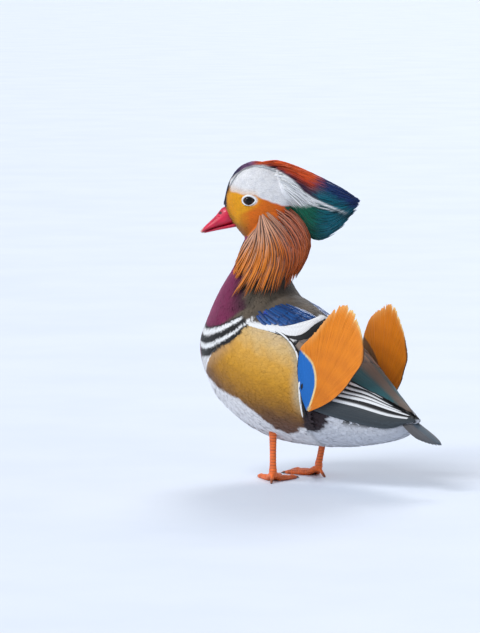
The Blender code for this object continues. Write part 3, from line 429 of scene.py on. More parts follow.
class Wire:
    # a socket whose sums and products add their own Math nodes
    def __init__(self, tree, socket):
        self.tree, self.socket = tree, socket

    def node(self, kind, settings=(), **values):
        made = self.tree.nodes.new(kind)
        for name, value in dict(settings).items():
            if name == "stops":
                while len(made.color_ramp.elements) < len(value):
                    made.color_ramp.elements.new(0.5)
                for element, (place, colour) in zip(made.color_ramp.elements, value):
                    element.position, element.color = place, colour
            else:
                setattr(made, name, value)
        for name, value in values.items():
            numbered = name[0] == "i" and name[1:].isdigit()
            socket = made.inputs[int(name[1:]) if numbered else name]
            if isinstance(value, Wire):
                self.tree.links.new(value.socket, socket)
            else:
                socket.default_value = value
        return made

    def out(self, made, name=0):
        return Wire(self.tree, made.outputs[name])

    def maths(self, operation, a, b=0.0, c=0.0):
        return self.out(self.node("ShaderNodeMath", {"operation": operation}, i0=a, i1=b, i2=c))

    def __add__(self, other):
        return self.maths("ADD", self, other)

    def __radd__(self, other):
        return self.maths("ADD", other, self)

    def __sub__(self, other):
        return self.maths("SUBTRACT", self, other)

    def __rsub__(self, other):
        return self.maths("SUBTRACT", other, self)

    def __mul__(self, other):
        return self.maths("MULTIPLY", self, other)

    def __rmul__(self, other):
        return self.maths("MULTIPLY", other, self)

    def sine(self):
        return self.maths("SINE", self)

    def size(self):
        return self.maths("ABSOLUTE", self)


    def eased(self, low, high):
        made = self.node("ShaderNodeMapRange", {"interpolation_type": "SMOOTHSTEP"}, i0=self, i1=low, i2=high)
        return self.out(made)

    def mixed(self, a, b):
        # this value mixes two colours
        made = self.node("ShaderNodeMix", {"data_type": "RGBA"}, Factor=self, i6=a, i7=b)
        return self.out(made, 2)

    def scaled(self, by):
        made = self.node("ShaderNodeVectorMath", {"operation": "SCALE"}, i0=self, Scale=by)
        return self.out(made)


def newMaterial(name, **constants):
    made = bpy.data.materials.new(name)
    made.use_nodes = True
    shader = made.node_tree.nodes["Principled BSDF"]
    for key, value in constants.items():
        shader.inputs[key.replace("_", " ")].default_value = value
    start = Wire(made.node_tree, None)
    return made, shader, start


def attribute(start, name, output):
    return start.out(start.node("ShaderNodeAttribute", {"attribute_name": name}), output)


def noise(start, scale, detail=2.0, rough=0.5, distortion=0.0):
    coordinates = start.out(start.node("ShaderNodeTexCoord"), "Object")
    return start.out(start.node("ShaderNodeTexNoise", Vector=coordinates, Scale=scale, Detail=detail,
                                Roughness=rough, Distortion=distortion))


def feed(shader, wire, name):
    wire.tree.links.new(wire.socket, shader.inputs[name])


def plumage(name, rough=0.72, barbs=9000.0, relief=0.00008, sheen=0.25, metal=0.0):
    # tinted barbs that run out from each shaft, with a glossier finish where the feathers are iridescent
    made, shader, start = newMaterial(name, Sheen_Weight=sheen, Sheen_Roughness=0.4, Specular_IOR_Level=0.35)
    vane = start.node("ShaderNodeSeparateXYZ", i0=attribute(start, "vane", "Vector"))
    side, length, own = (start.out(vane, k) for k in range(3))
    fine = noise(start, 2600.0, 3.0)
    barb = (length * (barbs * 0.001) - side.size() * 2.6 + fine * 1.6 + own * 9).sine()
    tint = attribute(start, "tint", "Color")
    shaded = (barb * 0.35 + fine - 0.15).eased(0.0, 1.0).mixed(tint.scaled(0.72), tint.scaled(1.12))
    feed(shader, shaded, "Base Color")
    gloss = attribute(start, "gloss", "Fac")
    feed(shader, rough - gloss * (rough - 0.34) + (fine - 0.5) * 0.12, "Roughness")
    if metal:
        feed(shader, gloss * metal, "Metallic")
    shaft = side.size().eased(0.14, 0.0)
    bump = start.node("ShaderNodeBump", Strength=0.55, Distance=relief,
                      Height=barb * 0.5 + shaft * 1.2 + fine * 0.8)
    feed(shader, start.out(bump), "Normal")
    return made


def wear(thing, material):
    thing.data.materials.clear()
    thing.data.materials.append(material)
    return thing


softPlumage = plumage("softPlumage")
ironedPlumage = plumage("flightPlumage", rough=0.6, barbs=7000.0, relief=0.0001, sheen=0.1)
silkPlumage = plumage("silkPlumage", rough=0.62, barbs=5000.0, relief=0.00006, sheen=0.08, metal=0.15)
print("materials for the feathers ready")


# feather making

def manyVanes(paths, normals, halves, thick, lean=0.0):
    # closed vanes of diamond section along many paths that end in their tips
    count, rows = paths.shape[0], paths.shape[1] - 1
    previous = np.maximum(np.arange(rows) - 1, 0)
    along = unit(paths[:, 1:] - paths[:, previous])
    side = unit(np.cross(along, normals[:, :-1]))
    out = np.cross(side, along)
    lean = np.broadcast_to(np.asarray(lean, float), (count,))[:, None, None]
    side, out = unit(side + out * lean), unit(out - side * lean)
    half, thick = halves[..., None], np.broadcast_to(thick, (count,))[:, None, None] / 2
    centre = paths[:, :-1]
    ring = np.stack([centre - side * half, centre + out * thick, centre + side * half,
                     centre - out * thick], 2)
    points = np.concatenate([ring.reshape(count, rows * 4, 3), paths[:, -1:]], 1)
    faces = []
    for i in range(rows - 1):
        for j in range(4):
            a, b, k = i * 4 + j, i * 4 + 4 + j, (j + 1) % 4
            faces += [(a, i * 4 + k, i * 4 + 4 + k), (a, i * 4 + 4 + k, b)]
    last = (rows - 1) * 4
    faces += [(last + j, last + (j + 1) % 4, rows * 4) for j in range(4)] + [(0, 3, 2), (0, 2, 1)]
    faces = np.array(faces)
    corner = points[0][faces] - points[0].mean(0)
    if np.linalg.det(corner).sum() < 0:
        faces = faces[:, ::-1]
    many = (faces[None] + (np.arange(count) * points.shape[1])[:, None, None]).reshape(-1, 3)
    return points, many


def vaneParts(count, rows, lengths, shares, rng):
    # across, along and own number for each vertex of the vanes
    across4 = np.tile((-1.0, 0.0, 1.0, 0.0), rows)
    sides = np.append(across4, 0.0)
    alongs = np.append(np.repeat(shares[:-1], 4), shares[-1])
    found = np.empty((count, rows * 4 + 1, 3))
    found[..., 0] = sides
    found[..., 1] = alongs * lengths[:, None]
    found[..., 2] = rng.random(count)[:, None]
    return found, sides, alongs


def scatter(form, tRange, degreeRange, apart, rng, keep=None, most=90000):
    # places no nearer each other than this many millimetres
    t, degrees = rng.uniform(*tRange, most), rng.uniform(*degreeRange, most)
    at = form.point(t, degrees)
    area = np.linalg.norm(np.cross(form.point(t + 0.03, degrees) - at, form.point(t, degrees + 1) - at),
                          axis=-1)
    used = rng.random(most) < area / area.max()
    t, degrees, at = t[used], degrees[used], at[used]
    if keep is not None:
        used = keep(t, degrees, at)
        t, degrees, at = t[used], degrees[used], at[used]
    cells, chosen = {}, []
    keys = np.floor(at / apart).astype(int)
    steps = [(i, j, k) for i in (-1, 0, 1) for j in (-1, 0, 1) for k in (-1, 0, 1)]
    places, limit = at.tolist(), apart * apart
    for index, (a, b, c) in enumerate(keys.tolist()):
        x, y, z = places[index]
        near = False
        for i, j, k in steps:
            for other in cells.get((a + i, b + j, c + k), ()):
                ox, oy, oz = places[other]
                if (x - ox) ** 2 + (y - oy) ** 2 + (z - oz) ** 2 < limit:
                    near = True
                    break
            if near:
                break
        if not near:
            cells.setdefault((a, b, c), []).append(index)
            chosen.append(index)
    return t[chosen], degrees[chosen]


roundTip = (np.array((0.0, 0.34, 0.68, 0.9, 1.0)), np.array((0.55, 1.0, 0.98, 0.62)))
shortTip = (np.array((0.0, 0.45, 0.85, 1.0)), np.array((0.6, 1.0, 0.7)))


def coat(name, form, t, degrees, colourOf, rng, length, width, lifts=(-0.25, 0.3), thick=0.16, shape=roundTip,
         turn=0.0, rough=0.2, material=None, glossOf=None, uneven=0.1, lean=0.0, unwrap=None):
    # many small feathers that lie back along a form
    shares, profile = shape
    count, rows = len(t), len(shares) - 1
    lengths = np.broadcast_to(length, (count,)) * rng.uniform(0.85, 1.15, count)
    widths = np.broadcast_to(width, (count,)) * rng.uniform(0.88, 1.12, count)
    turn = np.broadcast_to(turn, (count,)) + rng.normal(0, rough, count) * 0.35
    step = lengths / form.pace(t, degrees)
    around = np.linalg.norm(form.point(t, degrees + 1) - form.point(t, degrees - 1), axis=-1) / 2
    ts = t[:, None] - step[:, None] * shares * np.cos(turn)[:, None]
    degreesAt = degrees[:, None] + (lengths * np.sin(turn) / around)[:, None] * shares
    top = lifts[1] + rng.uniform(-uneven, uneven, count)
    low = np.broadcast_to(lifts[0], (count,))
    lift = low[:, None] + (top - low)[:, None] * shares + 0.1 * np.sin(math.pi * shares)
    paths = form.point(ts, degreesAt, lift)
    normals = form.normal(ts, degreesAt)
    points, faces = manyVanes(paths, normals, widths[:, None] / 2 * profile, thick, lean)
    vane, sides, alongs = vaneParts(count, rows, lengths, shares, rng)
    # each vertex takes the marking where it lies, moved a little with its feather so that edges stay feathery
    tv = np.interp(alongs, shares, np.arange(len(shares)))
    picked = np.clip(np.rint(tv).astype(int), 0, rows)
    tOf = ts[:, picked] + (rng.normal(0, 0.2, count) / form.pace(t, degrees))[:, None]
    half = (widths / 2 / around)[:, None] * np.append(np.repeat(profile, 4), 0) * sides
    way = np.sign(np.where(degrees == 0, 1, degrees))[:, None]
    degreesOf = degreesAt[:, picked] + half * way
    colours = colourOf(tOf, degreesOf, points)
    # each feather has its own random tone, and painted shade darkens it toward its covered root, so that it
    # is lighter toward its tip
    shade = 1 + rng.normal(0, 0.045, count)[:, None] + 0.08 * (alongs - 0.6)
    colours = np.clip(colours * shade[..., None], 0, 1)
    u, v = (unwrap or bodyUnwrap)(t, degrees)
    patches = np.stack([u[:, None] + sides * 0.0012, v[:, None] + (alongs - 0.5) * 0.0024], -1)
    gloss = np.zeros(colours.shape[:2]) if glossOf is None else glossOf(colours)
    made = makeMesh(name, points.reshape(-1, 3), faces, colours.reshape(-1, 3), vane.reshape(-1, 3),
                    gloss.reshape(-1), patches.reshape(-1, 2), smooth=False)
    print(name, count, "feathers", len(faces), "triangles")
    return wear(made, material or softPlumage)


def bodyUnwrap(t, degrees):
    return 0.5 + degrees / 360 * 0.96, 0.06 + 0.9 * (t + 1.5) / 13.6


def headUnwrap(t, degrees):
    return 0.5 + degrees / 360 * 0.96, 0.06 + 0.88 * (t + 1.5) / 9.5


def iridescence(colours):
    # blue, green and purple feathers shine
    red, green, blue = (colours[..., k] for k in range(3))
    return np.clip((np.maximum(green, blue) - red * 1.1) * 9 + (blue - green) * 3, 0, 1)


def onBody(t, degrees, points):
    return bodyColour(t, degrees)


def padOver(form, edges, lifts, rows, columns):
    # a thin closed pad on a form, for the skin to rise over; edges(share) gives t and two angles
    share = np.linspace(0, 1, rows + 1)
    t, first, last = (np.array(v, float) for v in zip(*(edges(s) for s in share)))
    degrees = first[:, None] + (last - first)[:, None] * np.linspace(0, 1, columns + 1)
    t = np.repeat(t[:, None], columns + 1, 1)
    rim = np.zeros(t.shape, bool)
    rim[[0, -1]] = rim[:, [0, -1]] = True
    top = form.point(t, degrees, np.where(rim, 0.2, lifts[1]))
    low = form.point(t, degrees, np.full(t.shape, lifts[0]))
    return gridShell(top, low)


def gridShell(top, low):
    # the closed mesh between two grids of points
    rows, wide = top.shape[0] - 1, top.shape[1]
    points = np.concatenate([top.reshape(-1, 3), low.reshape(-1, 3)])
    base = rows * wide + wide
    i, j = np.meshgrid(np.arange(rows), np.arange(wide - 1), indexing="ij")
    a = (i * wide + j).ravel()
    b = a + wide
    faces = [np.stack([a, a + 1, b + 1, b], -1), np.stack([b, b + 1, a + 1, a], -1) + base]
    rim = list(range(wide)) + [k * wide + wide - 1 for k in range(1, rows + 1)]
    rim += [rows * wide + k for k in range(wide - 2, -1, -1)] + [k * wide for k in range(rows - 1, 0, -1)]
    rim = np.array(rim)
    after = np.roll(rim, -1)
    faces.append(np.stack([after, rim, rim + base, after + base], -1))
    faces = np.concatenate(faces)
    corners = points[faces[:, :3]] - points.mean(0)
    if np.linalg.det(corners).sum() < 0:
        faces = faces[:, ::-1]
    return points, faces


# the skin

skinLook = {"coarse": 1.4, "depth": 0.6, "smoothing": 6}


def applied(thing, kind, **settings):
    modifier = thing.modifiers.new(kind.lower(), kind)
    for name, value in settings.items():
        setattr(modifier, name, value)
    bpy.ops.object.select_all(action="DESELECT")
    thing.select_set(True)
    bpy.context.view_layer.objects.active = thing
    bpy.ops.object.modifier_apply(modifier=modifier.name)


def mergedCopy(name, *nodes):
    # one object from copies of CAD nodes, each merged
    copies = []
    for node in nodes:
        copy = frame["nodes"][node].copy()
        copy.data = copy.data.copy()
        copy.parent = None
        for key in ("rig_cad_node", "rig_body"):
            if key in copy:
                del copy[key]
        bpy.context.scene.collection.objects.link(copy)
        copies.append(copy)
    bpy.ops.object.select_all(action="DESELECT")
    for copy in copies:
        copy.select_set(True)
    bpy.context.view_layer.objects.active = copies[0]
    if len(copies) > 1:
        bpy.ops.object.join()
    made = bpy.context.view_layer.objects.active
    made.name = made.data.name = name
    bpy.ops.object.mode_set(mode="EDIT")
    bpy.ops.mesh.select_all(action="SELECT")
    bpy.ops.mesh.remove_doubles(threshold=0.000002)
    bpy.ops.object.mode_set(mode="OBJECT")
    made.data.materials.clear()
    return made


def joined(name, things):
    bpy.ops.object.select_all(action="DESELECT")
    for thing in things:
        thing.select_set(True)
    bpy.context.view_layer.objects.active = things[0]
    bpy.ops.object.join()
    things[0].name = things[0].data.name = name
    return things[0]


def makeSkin():
    parts = [mergedCopy("flesh", "torso", "neck", "head")]
    for form, start, end, rows, lift in ((body, 0.0, 1.2, 8, -0.6), (crestRoot, 0.6, 4.9, 20, 0.4),
                                         (ruff, 0.1, 3.3, 14, -2.6)):
        t, degrees = np.meshgrid(np.linspace(start, end, rows), np.arange(48) * 7.5, indexing="ij")
        ring = form.point(t, degrees, np.full(t.shape, lift))
        closedRing = np.concatenate([ring, ring[:, :1]], 1)
        middle = closedRing.mean(1, keepdims=True)
        points = np.concatenate([middle[:1].repeat(49, 1), closedRing, middle[-1:].repeat(49, 1)])
        flat = points.reshape(-1, 3)
        i, j = np.meshgrid(np.arange(rows + 1), np.arange(48), indexing="ij")
        a = (i * 49 + j).ravel()
        faces = np.stack([a, a + 1, a + 50, a + 49], -1)
        thing = makeMesh("core", flat, faces)
        bpy.context.view_layer.objects.active = thing
        bpy.ops.object.select_all(action="DESELECT")
        thing.select_set(True)
        bpy.ops.object.mode_set(mode="EDIT")
        bpy.ops.mesh.select_all(action="SELECT")
        bpy.ops.mesh.remove_doubles(threshold=0.00002)
        bpy.ops.mesh.normals_make_consistent(inside=False)
        bpy.ops.object.mode_set(mode="OBJECT")
        parts.append(thing)
    for way in (1, -1):
        for edges, top in (
                (lambda s: (between(4.0, 7.1, s), way * np.interp(s, (0, .25, .55, .85, 1),
                                                                  (50, 48, 56, 78, 100)),
                            way * (between(133, 138, min(s * 2, 1)) - max(0, s - 0.7) * 50)), 2.6),
                (lambda s: (between(5.0, 6.3, s), way * between(14, 30, s), way * between(42, 46, s)), 2.6),
                (lambda s: (between(1.0, 4.0, s), way * between(0, 5, s), way * between(84, 62, s)), 2.6)):
            points, faces = padOver(body, edges, (-2.0, top), 20, 30)
            parts.append(makeMesh("pad", points, faces))
    skin = joined("skin", parts)
    applied(skin, "REMESH", mode="VOXEL", voxel_size=skinLook["coarse"] * 0.001)
    applied(skin, "SMOOTH", factor=0.5, iterations=skinLook["smoothing"])
    applied(skin, "DISPLACE", strength=-skinLook["depth"] * 0.001, mid_level=0.0)
    points = pointsOf(skin)
    # colour by the nearest place on the forms
    samples, shades = [], []
    for form, tEnd, steps, colourOf in (
            (body, 12.9, (240, 260), lambda t, d, p: bodyColour(t, d)),
            (head, 7, (90, 130), lambda t, d, p: headColour(p)),
            (crest, 6, (70, 60), lambda t, d, p: crestMarks(p)),
            (ruff, 3.6, (60, 60), lambda t, d, p: ruffColour(p))):
        t, degrees = np.meshgrid(np.linspace(0, tEnd, steps[0]), np.linspace(-180, 180, steps[1]),
                                 indexing="ij")
        at = form.point(t, degrees).reshape(-1, 3)
        samples.append(at)
        shades.append(colourOf(t.ravel(), degrees.ravel(), at))
    samples, shades = np.concatenate(samples), np.concatenate(shades)
    tree = KDTree(len(samples))
    for index, at in enumerate(samples.tolist()):
        tree.insert(at, index)
    tree.balance()
    nearest = np.array([tree.find(at)[1] for at in points.tolist()])
    skin.data.polygons.foreach_set("use_smooth", np.ones(len(skin.data.polygons), bool))
    zero = np.zeros((len(points), 3))
    # the skin's colours are darkened a little, as painted shade where it shows between the feathers
    record(skin, shades[nearest] * 0.92, zero, np.zeros(len(points)))
    wear(skin, softPlumage)
    print("skin", len(skin.data.polygons), "faces")
    return settle(skin, "torso_plumage", "torso", "neck", "head")


makeSkin()


# body feathers

bodyLook = {
    "neck": {"length": 5.0, "width": 2.2, "apart": 1.35},
    "breast": {"length": 5.6, "width": 2.5, "apart": 1.5},
    "flank": {"length": 8.0, "width": 3.2, "apart": 1.9},
    "back": {"length": 7.5, "width": 3.4, "apart": 2.0},
    "belly": {"length": 9.5, "width": 3.8, "apart": 2.3},
}


def inFlank(t, degrees):
    return depthIn(bodyOutlines["flank"], t * 22, np.abs(degrees) * 0.95)


def makeBodyCoat():
    rng = np.random.default_rng(11)
    look = bodyLook["neck"]
    t, degrees = scatter(body, (8.9, 11.6), (-180, 180), look["apart"], rng)
    coat("neckCoat", body, t, degrees, onBody, rng, look["length"], look["width"])
    settle(bpy.data.objects["neckCoat"], "neck_plumage")
    look = bodyLook["breast"]
    t, degrees = scatter(body, (6.1, 9.1), (-180, 180), look["apart"], rng,
                         lambda t, d, p: (inFlank(t, d) < 2) & ((np.abs(d) > 30) | (t > 6.6)))
    settle(coat("breastCoat", body, t, degrees, onBody, rng, look["length"], look["width"],
                glossOf=iridescence),
           "torso_plumage")
    look = bodyLook["belly"]
    t, degrees = scatter(body, (0.2, 6.6), (86, 274), look["apart"], rng,
                         lambda t, d, p: (inFlank(t, np.where(d > 180, 360 - d, d)) < 3)
                         & (np.abs(d - 180) < np.where(t < 1.8, 74, np.where(t < 3.3, 79, 94))))
    degrees = np.where(degrees > 180, degrees - 360, degrees)
    raised = 2.0 * ease(140, 131, np.abs(degrees)) * ease(3.7, 4.1, t) * ease(7.2, 6.9, t)
    settle(coat("bellyCoat", body, t, degrees, onBody, rng, look["length"], look["width"],
                (raised - 0.3, raised + 0.5), 0.2,
                rough=0.35, uneven=0.2), "torso_plumage")
    look = bodyLook["back"]
    t, degrees = scatter(body, (3.0, 6.9), (-60, 60), look["apart"], rng, lambda t, d, p: inFlank(t, d) < 1)
    settle(coat("backCoat", body, t, degrees, onBody, rng, look["length"], look["width"], (1.7, 2.5),
                glossOf=iridescence), "torso_plumage")
    look = bodyLook["flank"]
    for name, way in (("Left", 1), ("Right", -1)):
        t, degrees = scatter(body, (3.4, 7.5), (40, 142), look["apart"], rng, lambda t, d,
                             p: inFlank(t, d) > -0.5)
        made = coat("flankCoat" + name, body, t, degrees * way, onBody, rng, look["length"], look["width"],
                    (1.5, 2.2), 0.18, uneven=0.1)
        settle(made, "flank_plumage", "flank_" + name.lower())


makeBodyCoat()


# head feathers

eyePlace = {"forward": 5.8, "height": 243.3, "radius": 5.6, "proud": 2.8, "opening": (5.1, 4.05)}
eyeCentres = {}
for side in ("left", "right"):
    low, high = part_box("eye_" + side)
    eyeCentres[side] = (np.array(low) + np.array(high)) * 500 - floorShift


def clearOfEye(points, wide=5.8, high=4.6):
    u, side, z = onHead(points)
    return np.hypot((u - eyePlace["forward"] + 0.4) / wide, (z - eyePlace["height"]) / high) > 1


def makeHeadCoat():
    rng = np.random.default_rng(23)
    for name, way in (("Left", 1), ("Right", -1)):
        t, degrees = scatter(head, (0.1, 6.95), (0, 180), 0.92, rng,
                             lambda t, d, p: clearOfEye(p) & (p[:, 2] > 206 + 6 * (onHead(p)[0] < 8)),
                             most=120000)
        size = np.interp(t, (0, 3, 5.5, 7), (3.6, 3.0, 2.4, 1.7))
        # feathers below the eye sweep down toward the ruff
        z = onHead(head.point(t, degrees))[2]
        turn = way * np.interp(z, (212, 232, 240, 262), (0.75, 0.5, 0.12, -0.1)) * ease(0.5, 2.0, t)
        made = coat("headCoat" + name, head, t, degrees * way, lambda t, d, p: headColour(p), rng, size,
                    size * 0.42,
                    (-0.15, 0.28), 0.12, shortTip, turn=turn, uneven=0.08, unwrap=headUnwrap,
                    glossOf=iridescence)
        settle(made, "head_plumage")


makeHeadCoat()


# long feathers: crest and ruff

def longVanes(name, form, t, degrees, lift, widths, profile, shares, colourOf, rng, thick, material, unwrap,
              edgeOf=None, lean=0.0, glossOf=iridescence):
    # feathers along given (t, degrees, lift) rows on a form
    count, rows = len(t), len(shares) - 1
    paths, normals = form.point(t, degrees, lift), form.normal(t, degrees)
    points, faces = manyVanes(paths, normals, widths[:, None] / 2 * profile, thick, lean)
    lengths = np.linalg.norm(np.diff(paths, axis=1), axis=-1).sum(1)
    vane, sides, alongs = vaneParts(count, rows, lengths, shares, rng)
    colours = colourOf(points)
    if edgeOf is not None:
        colours = edgeOf(colours, points, sides, alongs)
    shade = 1 + rng.normal(0, 0.12, count)[:, None]
    colours = np.clip(colours * shade[..., None], 0, 1)
    u, v = unwrap(t[:, 0], degrees[:, 0])
    patches = np.stack([u[:, None] + sides * 0.0012, v[:, None] + (alongs - 0.5) * 0.0024], -1)
    made = makeMesh(name, points.reshape(-1, 3), faces, colours.reshape(-1, 3), vane.reshape(-1, 3),
                    glossOf(colours).reshape(-1), patches.reshape(-1, 2))
    print(name, count, "feathers", len(faces), "triangles")
    return wear(made, material)


crestLook = {"locks": 1150, "width": 1.6, "crownLocks": 520}


def makeCrest():
    rng = np.random.default_rng(37)
    shares = np.array((0.0, 0.1, 0.22, 0.34, 0.46, 0.58, 0.7, 0.82, 0.92, 1.0))
    profile = np.array((0.45, 0.8, 0.95, 1.0, 1.0, 0.95, 0.82, 0.6, 0.34))
    for name, way in (("Left", 1), ("Right", -1)):
        count = crestLook["locks"]
        degrees = np.sort(rng.uniform(0, 178, count))
        start = rng.uniform(-0.2, 4.6, count)
        start = np.where((degrees > 30) & (degrees < 130), np.maximum(start, rng.uniform(0.7, 2.0, count)),
                         start)
        reach = rng.uniform(1.5, 2.6, count)
        low = ease(110, 160, degrees)
        tip = np.minimum(start + reach, 6.95 - low * 1.2 + rng.normal(0, 0.5, count))
        start = np.minimum(start, tip - 1.2)
        bend = rng.normal(0, 3.0, count)
        t = between(start[:, None], tip[:, None], shares)
        angle = degrees[:, None] + bend[:, None] * shares ** 1.5 + low[:, None] * 3 * shares
        rise = rng.uniform(-0.5, 0.5, count)[:, None]
        deep = between(-2.6, -1.0, rng.random(count))[:, None] - 2.2 * ease(1.6, 0.4, start)[:, None]
        lift = deep + (rise - deep) * np.minimum(shares * 1.5, 1) + 0.3 * np.sin(math.pi * shares)
        lift = lift + rng.uniform(0, 1.6, count)[:, None] * ease(4.2, 5.6, tip)[:, None] * shares ** 3
        lift = lift + (rng.uniform(0, 2.0, count) * ease(150, 168, degrees))[:, None] * shares ** 3
        lift = lift + 1.3 * (ease(140, 165, degrees) * ease(3.6, 2.6, start))[:, None]
        widths = crestLook["width"] * rng.uniform(0.7, 1.25, count)
        made = longVanes("crestLocks" + name, crest, t, np.clip(angle, -4, 184) * way, lift, widths,
                         profile, shares,
                         lambda p: crestMarks(p), rng, 0.5, silkPlumage, headUnwrap)
        settle(made, "crest_plumage", "crest")
    count = crestLook["crownLocks"]
    start = rng.uniform(1.6, 6.9, count)
    degrees = rng.uniform(-22, 22, count) * np.interp(start, (1, 5, 7), (1.1, 1.0, 1.2))
    t = between(start[:, None], (start - rng.uniform(1.1, 1.9, count))[:, None], shares)
    lift = between(0.1, 1.9, shares) * np.interp(t, (0, 4.5, 6.6), (1.2, 1.0, 0.35)) + rng.uniform(-0.2,
        0.2, (count, 1))
    made = longVanes("crownLocks", head, t, degrees[:, None] + np.zeros_like(t), lift, np.full(count, 1.5),
                     profile,
                     shares, crestMarks, rng, 0.45, silkPlumage, headUnwrap)
    settle(made, "crest_plumage", "crest")


makeCrest()

ruffLook = {"hackles": 150, "strands": 90, "width": 2.6}


def makeRuff():
    rng = np.random.default_rng(41)
    shares = np.array((0.0, 0.12, 0.26, 0.42, 0.58, 0.74, 0.88, 1.0))
    profile = np.array((0.35, 0.7, 0.95, 1.0, 0.95, 0.8, 0.45))

    def marks(colours, points, sides, alongs):
        u, side, z = onHead(points)
        shaft = (1 - np.abs(sides)) * (np.arange(len(sides)) % 4 == 1)
        low = ease(0.35, 0.75, alongs) * np.ones(u.shape)
        back = ease(-8, -34, u)
        vaneColour = over(np.broadcast_to(paint(132, 42, 14), u.shape + (3,)), paint(232, 118, 14), low)
        vaneColour = over(vaneColour, paint(226, 80, 8), back * 0.75)
        vaneColour = over(vaneColour, paint(236, 130, 16), ease(0, 10, u) * 0.7)
        # the sides of each hackle are painted dark, as the shade in the gaps between hackles
        vaneColour = over(vaneColour, paint(58, 12, 6), ease(0.3, 0.95, np.abs(sides)) * 0.85
                          * np.ones(u.shape))
        cream = over(np.broadcast_to(paint(244, 186, 150), u.shape + (3,)), paint(244, 140, 36),
                     ease(0.35, 0.7, alongs) * np.ones(u.shape))
        return over(vaneColour, cream, shaft * 0.85 * (1 - back * 0.6))

    for name, way in (("Left", 1), ("Right", -1)):
        for part, count, wide in (("hackles", ruffLook["hackles"], 1.0),
                                  ("strands", ruffLook["strands"], 0.5)):
            degrees = between(4, 177, (np.arange(count) * 0.618034) % 1)
            tier = rng.random(count)
            back = ease(120, 176, degrees)
            end = between(2.6, 5.35, tier ** 0.7)
            end = np.where(degrees < 46, np.minimum(end, 3.9 + rng.uniform(-0.5, 0.4, count)), end)
            end = end - back * 0.9 * (end > 3.6)
            start = between(0.35, 1.5, tier) * (1 - 0.4 * back) + 0.5 * ease(60, 20, degrees)
            root = between(degrees, 72 + 20 * back, np.where(tier < 0.5, 0.8, 0.5) * (1 - 0.7 * back))
            t = between(start[:, None], end[:, None], shares ** 1.1)
            angle = between(root[:, None], degrees[:, None], shares ** 0.85)
            rise = between(1.4, 0.2, tier)[:, None] + rng.uniform(-0.9, 1.0, (count, 1))
            lift = between(-2.4, 0, np.minimum(shares * 3, 1)) + rise * shares + 0.7 * np.sin(math.pi
                * shares)
            lift = lift + 1.8 * ease(138, 162, degrees)[:, None] * ease(0.0, 0.2, shares) * ease(2.9, 1.9, t)
            widths = ruffLook["width"] * wide * rng.uniform(0.8, 1.2, count)
            made = longVanes(part + name, ruff, t, angle * way, lift, widths, profile, shares, ruffColour,
                             rng,
                             0.9 * wide, softPlumage, headUnwrap, edgeOf=marks,
                             glossOf=lambda c: np.zeros(c.shape[:2]))
            settle(made, "ruff_plumage", "ruff_" + name.lower())


makeRuff()


# broad feathers: scapulars, wings, sails and tail

def plume(centres, normals, halves, thick=0.4, camber=0.18, columns=9, rng=None, rag=0.0, way=1):
    # one wide vane as a closed shell, given its middle line; returns grids for top and underside
    rows = len(centres)
    previous, following = np.maximum(np.arange(rows) - 1, 0), np.minimum(np.arange(rows) + 1, rows - 1)
    along = unit(centres[following] - centres[previous])
    side = unit(np.cross(along, normals)) * way
    out = np.cross(side, along) * way
    c = np.sin(np.linspace(-math.pi / 2, math.pi / 2, columns))
    spread = halves[:, None] * c
    if rag:
        spread = spread * (1 - rag * rng.random((rows, columns)) * (np.abs(c) > 0.9))
    top = centres[:, None] + side[:, None] * spread[..., None] + out[:,
                                                                     None] * ((1 - c ** 2) * camber
                                                                         * halves[:, None])[..., None]
    down = thick * (0.35 + 0.65 * (1 - c ** 2))
    low = top - out[:, None] * down[None, :, None]
    return top, low, c


def tipProfile(s, root=0.75, tip=0.16, point=0.0):
    # the half width along a feather: narrow at its root, round or pointed at its tip
    grow = between(root, 1, np.clip(s / 0.35, 0, 1))
    left = np.clip((1 - s) / tip, 0, 1)
    return np.maximum(grow * np.sqrt(np.clip(1 - (1 - left) ** 2, 0, 1))
                      * (1 - point * np.clip((s - 0.6) / 0.4, 0, 1)), 0.03)


class Gathered:
    # collects the shells of several wide feathers for one mesh
    def __init__(self):
        self.points, self.faces, self.colours, self.vane, self.uv, self.count = [], [], [], [], [], 0

    def add(self, top, low, colours, sides, lengths, own, root):
        points, faces = gridShell(top, low)
        self.points.append(points)
        self.faces.append(faces + self.count)
        self.count += len(points)
        self.colours.append(np.concatenate([colours.reshape(-1, 3)] * 2))
        vane = np.stack([np.broadcast_to(sides, top.shape[:2]),
                         np.broadcast_to(lengths[:, None], top.shape[:2]),
                         np.full(top.shape[:2], own)], -1).reshape(-1, 3)
        self.vane.append(np.concatenate([vane, vane]))
        along = (lengths / max(lengths[-1], 1e-6))[:, None] - 0.5
        uv = np.stack([root[0] + np.broadcast_to(sides, top.shape[:2]) * 0.0012,
                       root[1] + np.broadcast_to(along, top.shape[:2]) * 0.0024], -1).reshape(-1, 2)
        self.uv.append(np.concatenate([uv, uv]))

    def build(self, name, material, glossOf=None):
        colours = np.clip(np.concatenate(self.colours), 0, 1)
        gloss = np.zeros(len(colours)) if glossOf is None else glossOf(colours)
        made = makeMesh(name, np.concatenate(self.points), np.concatenate(self.faces), colours,
                        np.concatenate(self.vane), gloss, np.concatenate(self.uv))
        print(name, len(self.points), "wide feathers", len(made.data.polygons) * 2, "triangles")
        return wear(made, material)


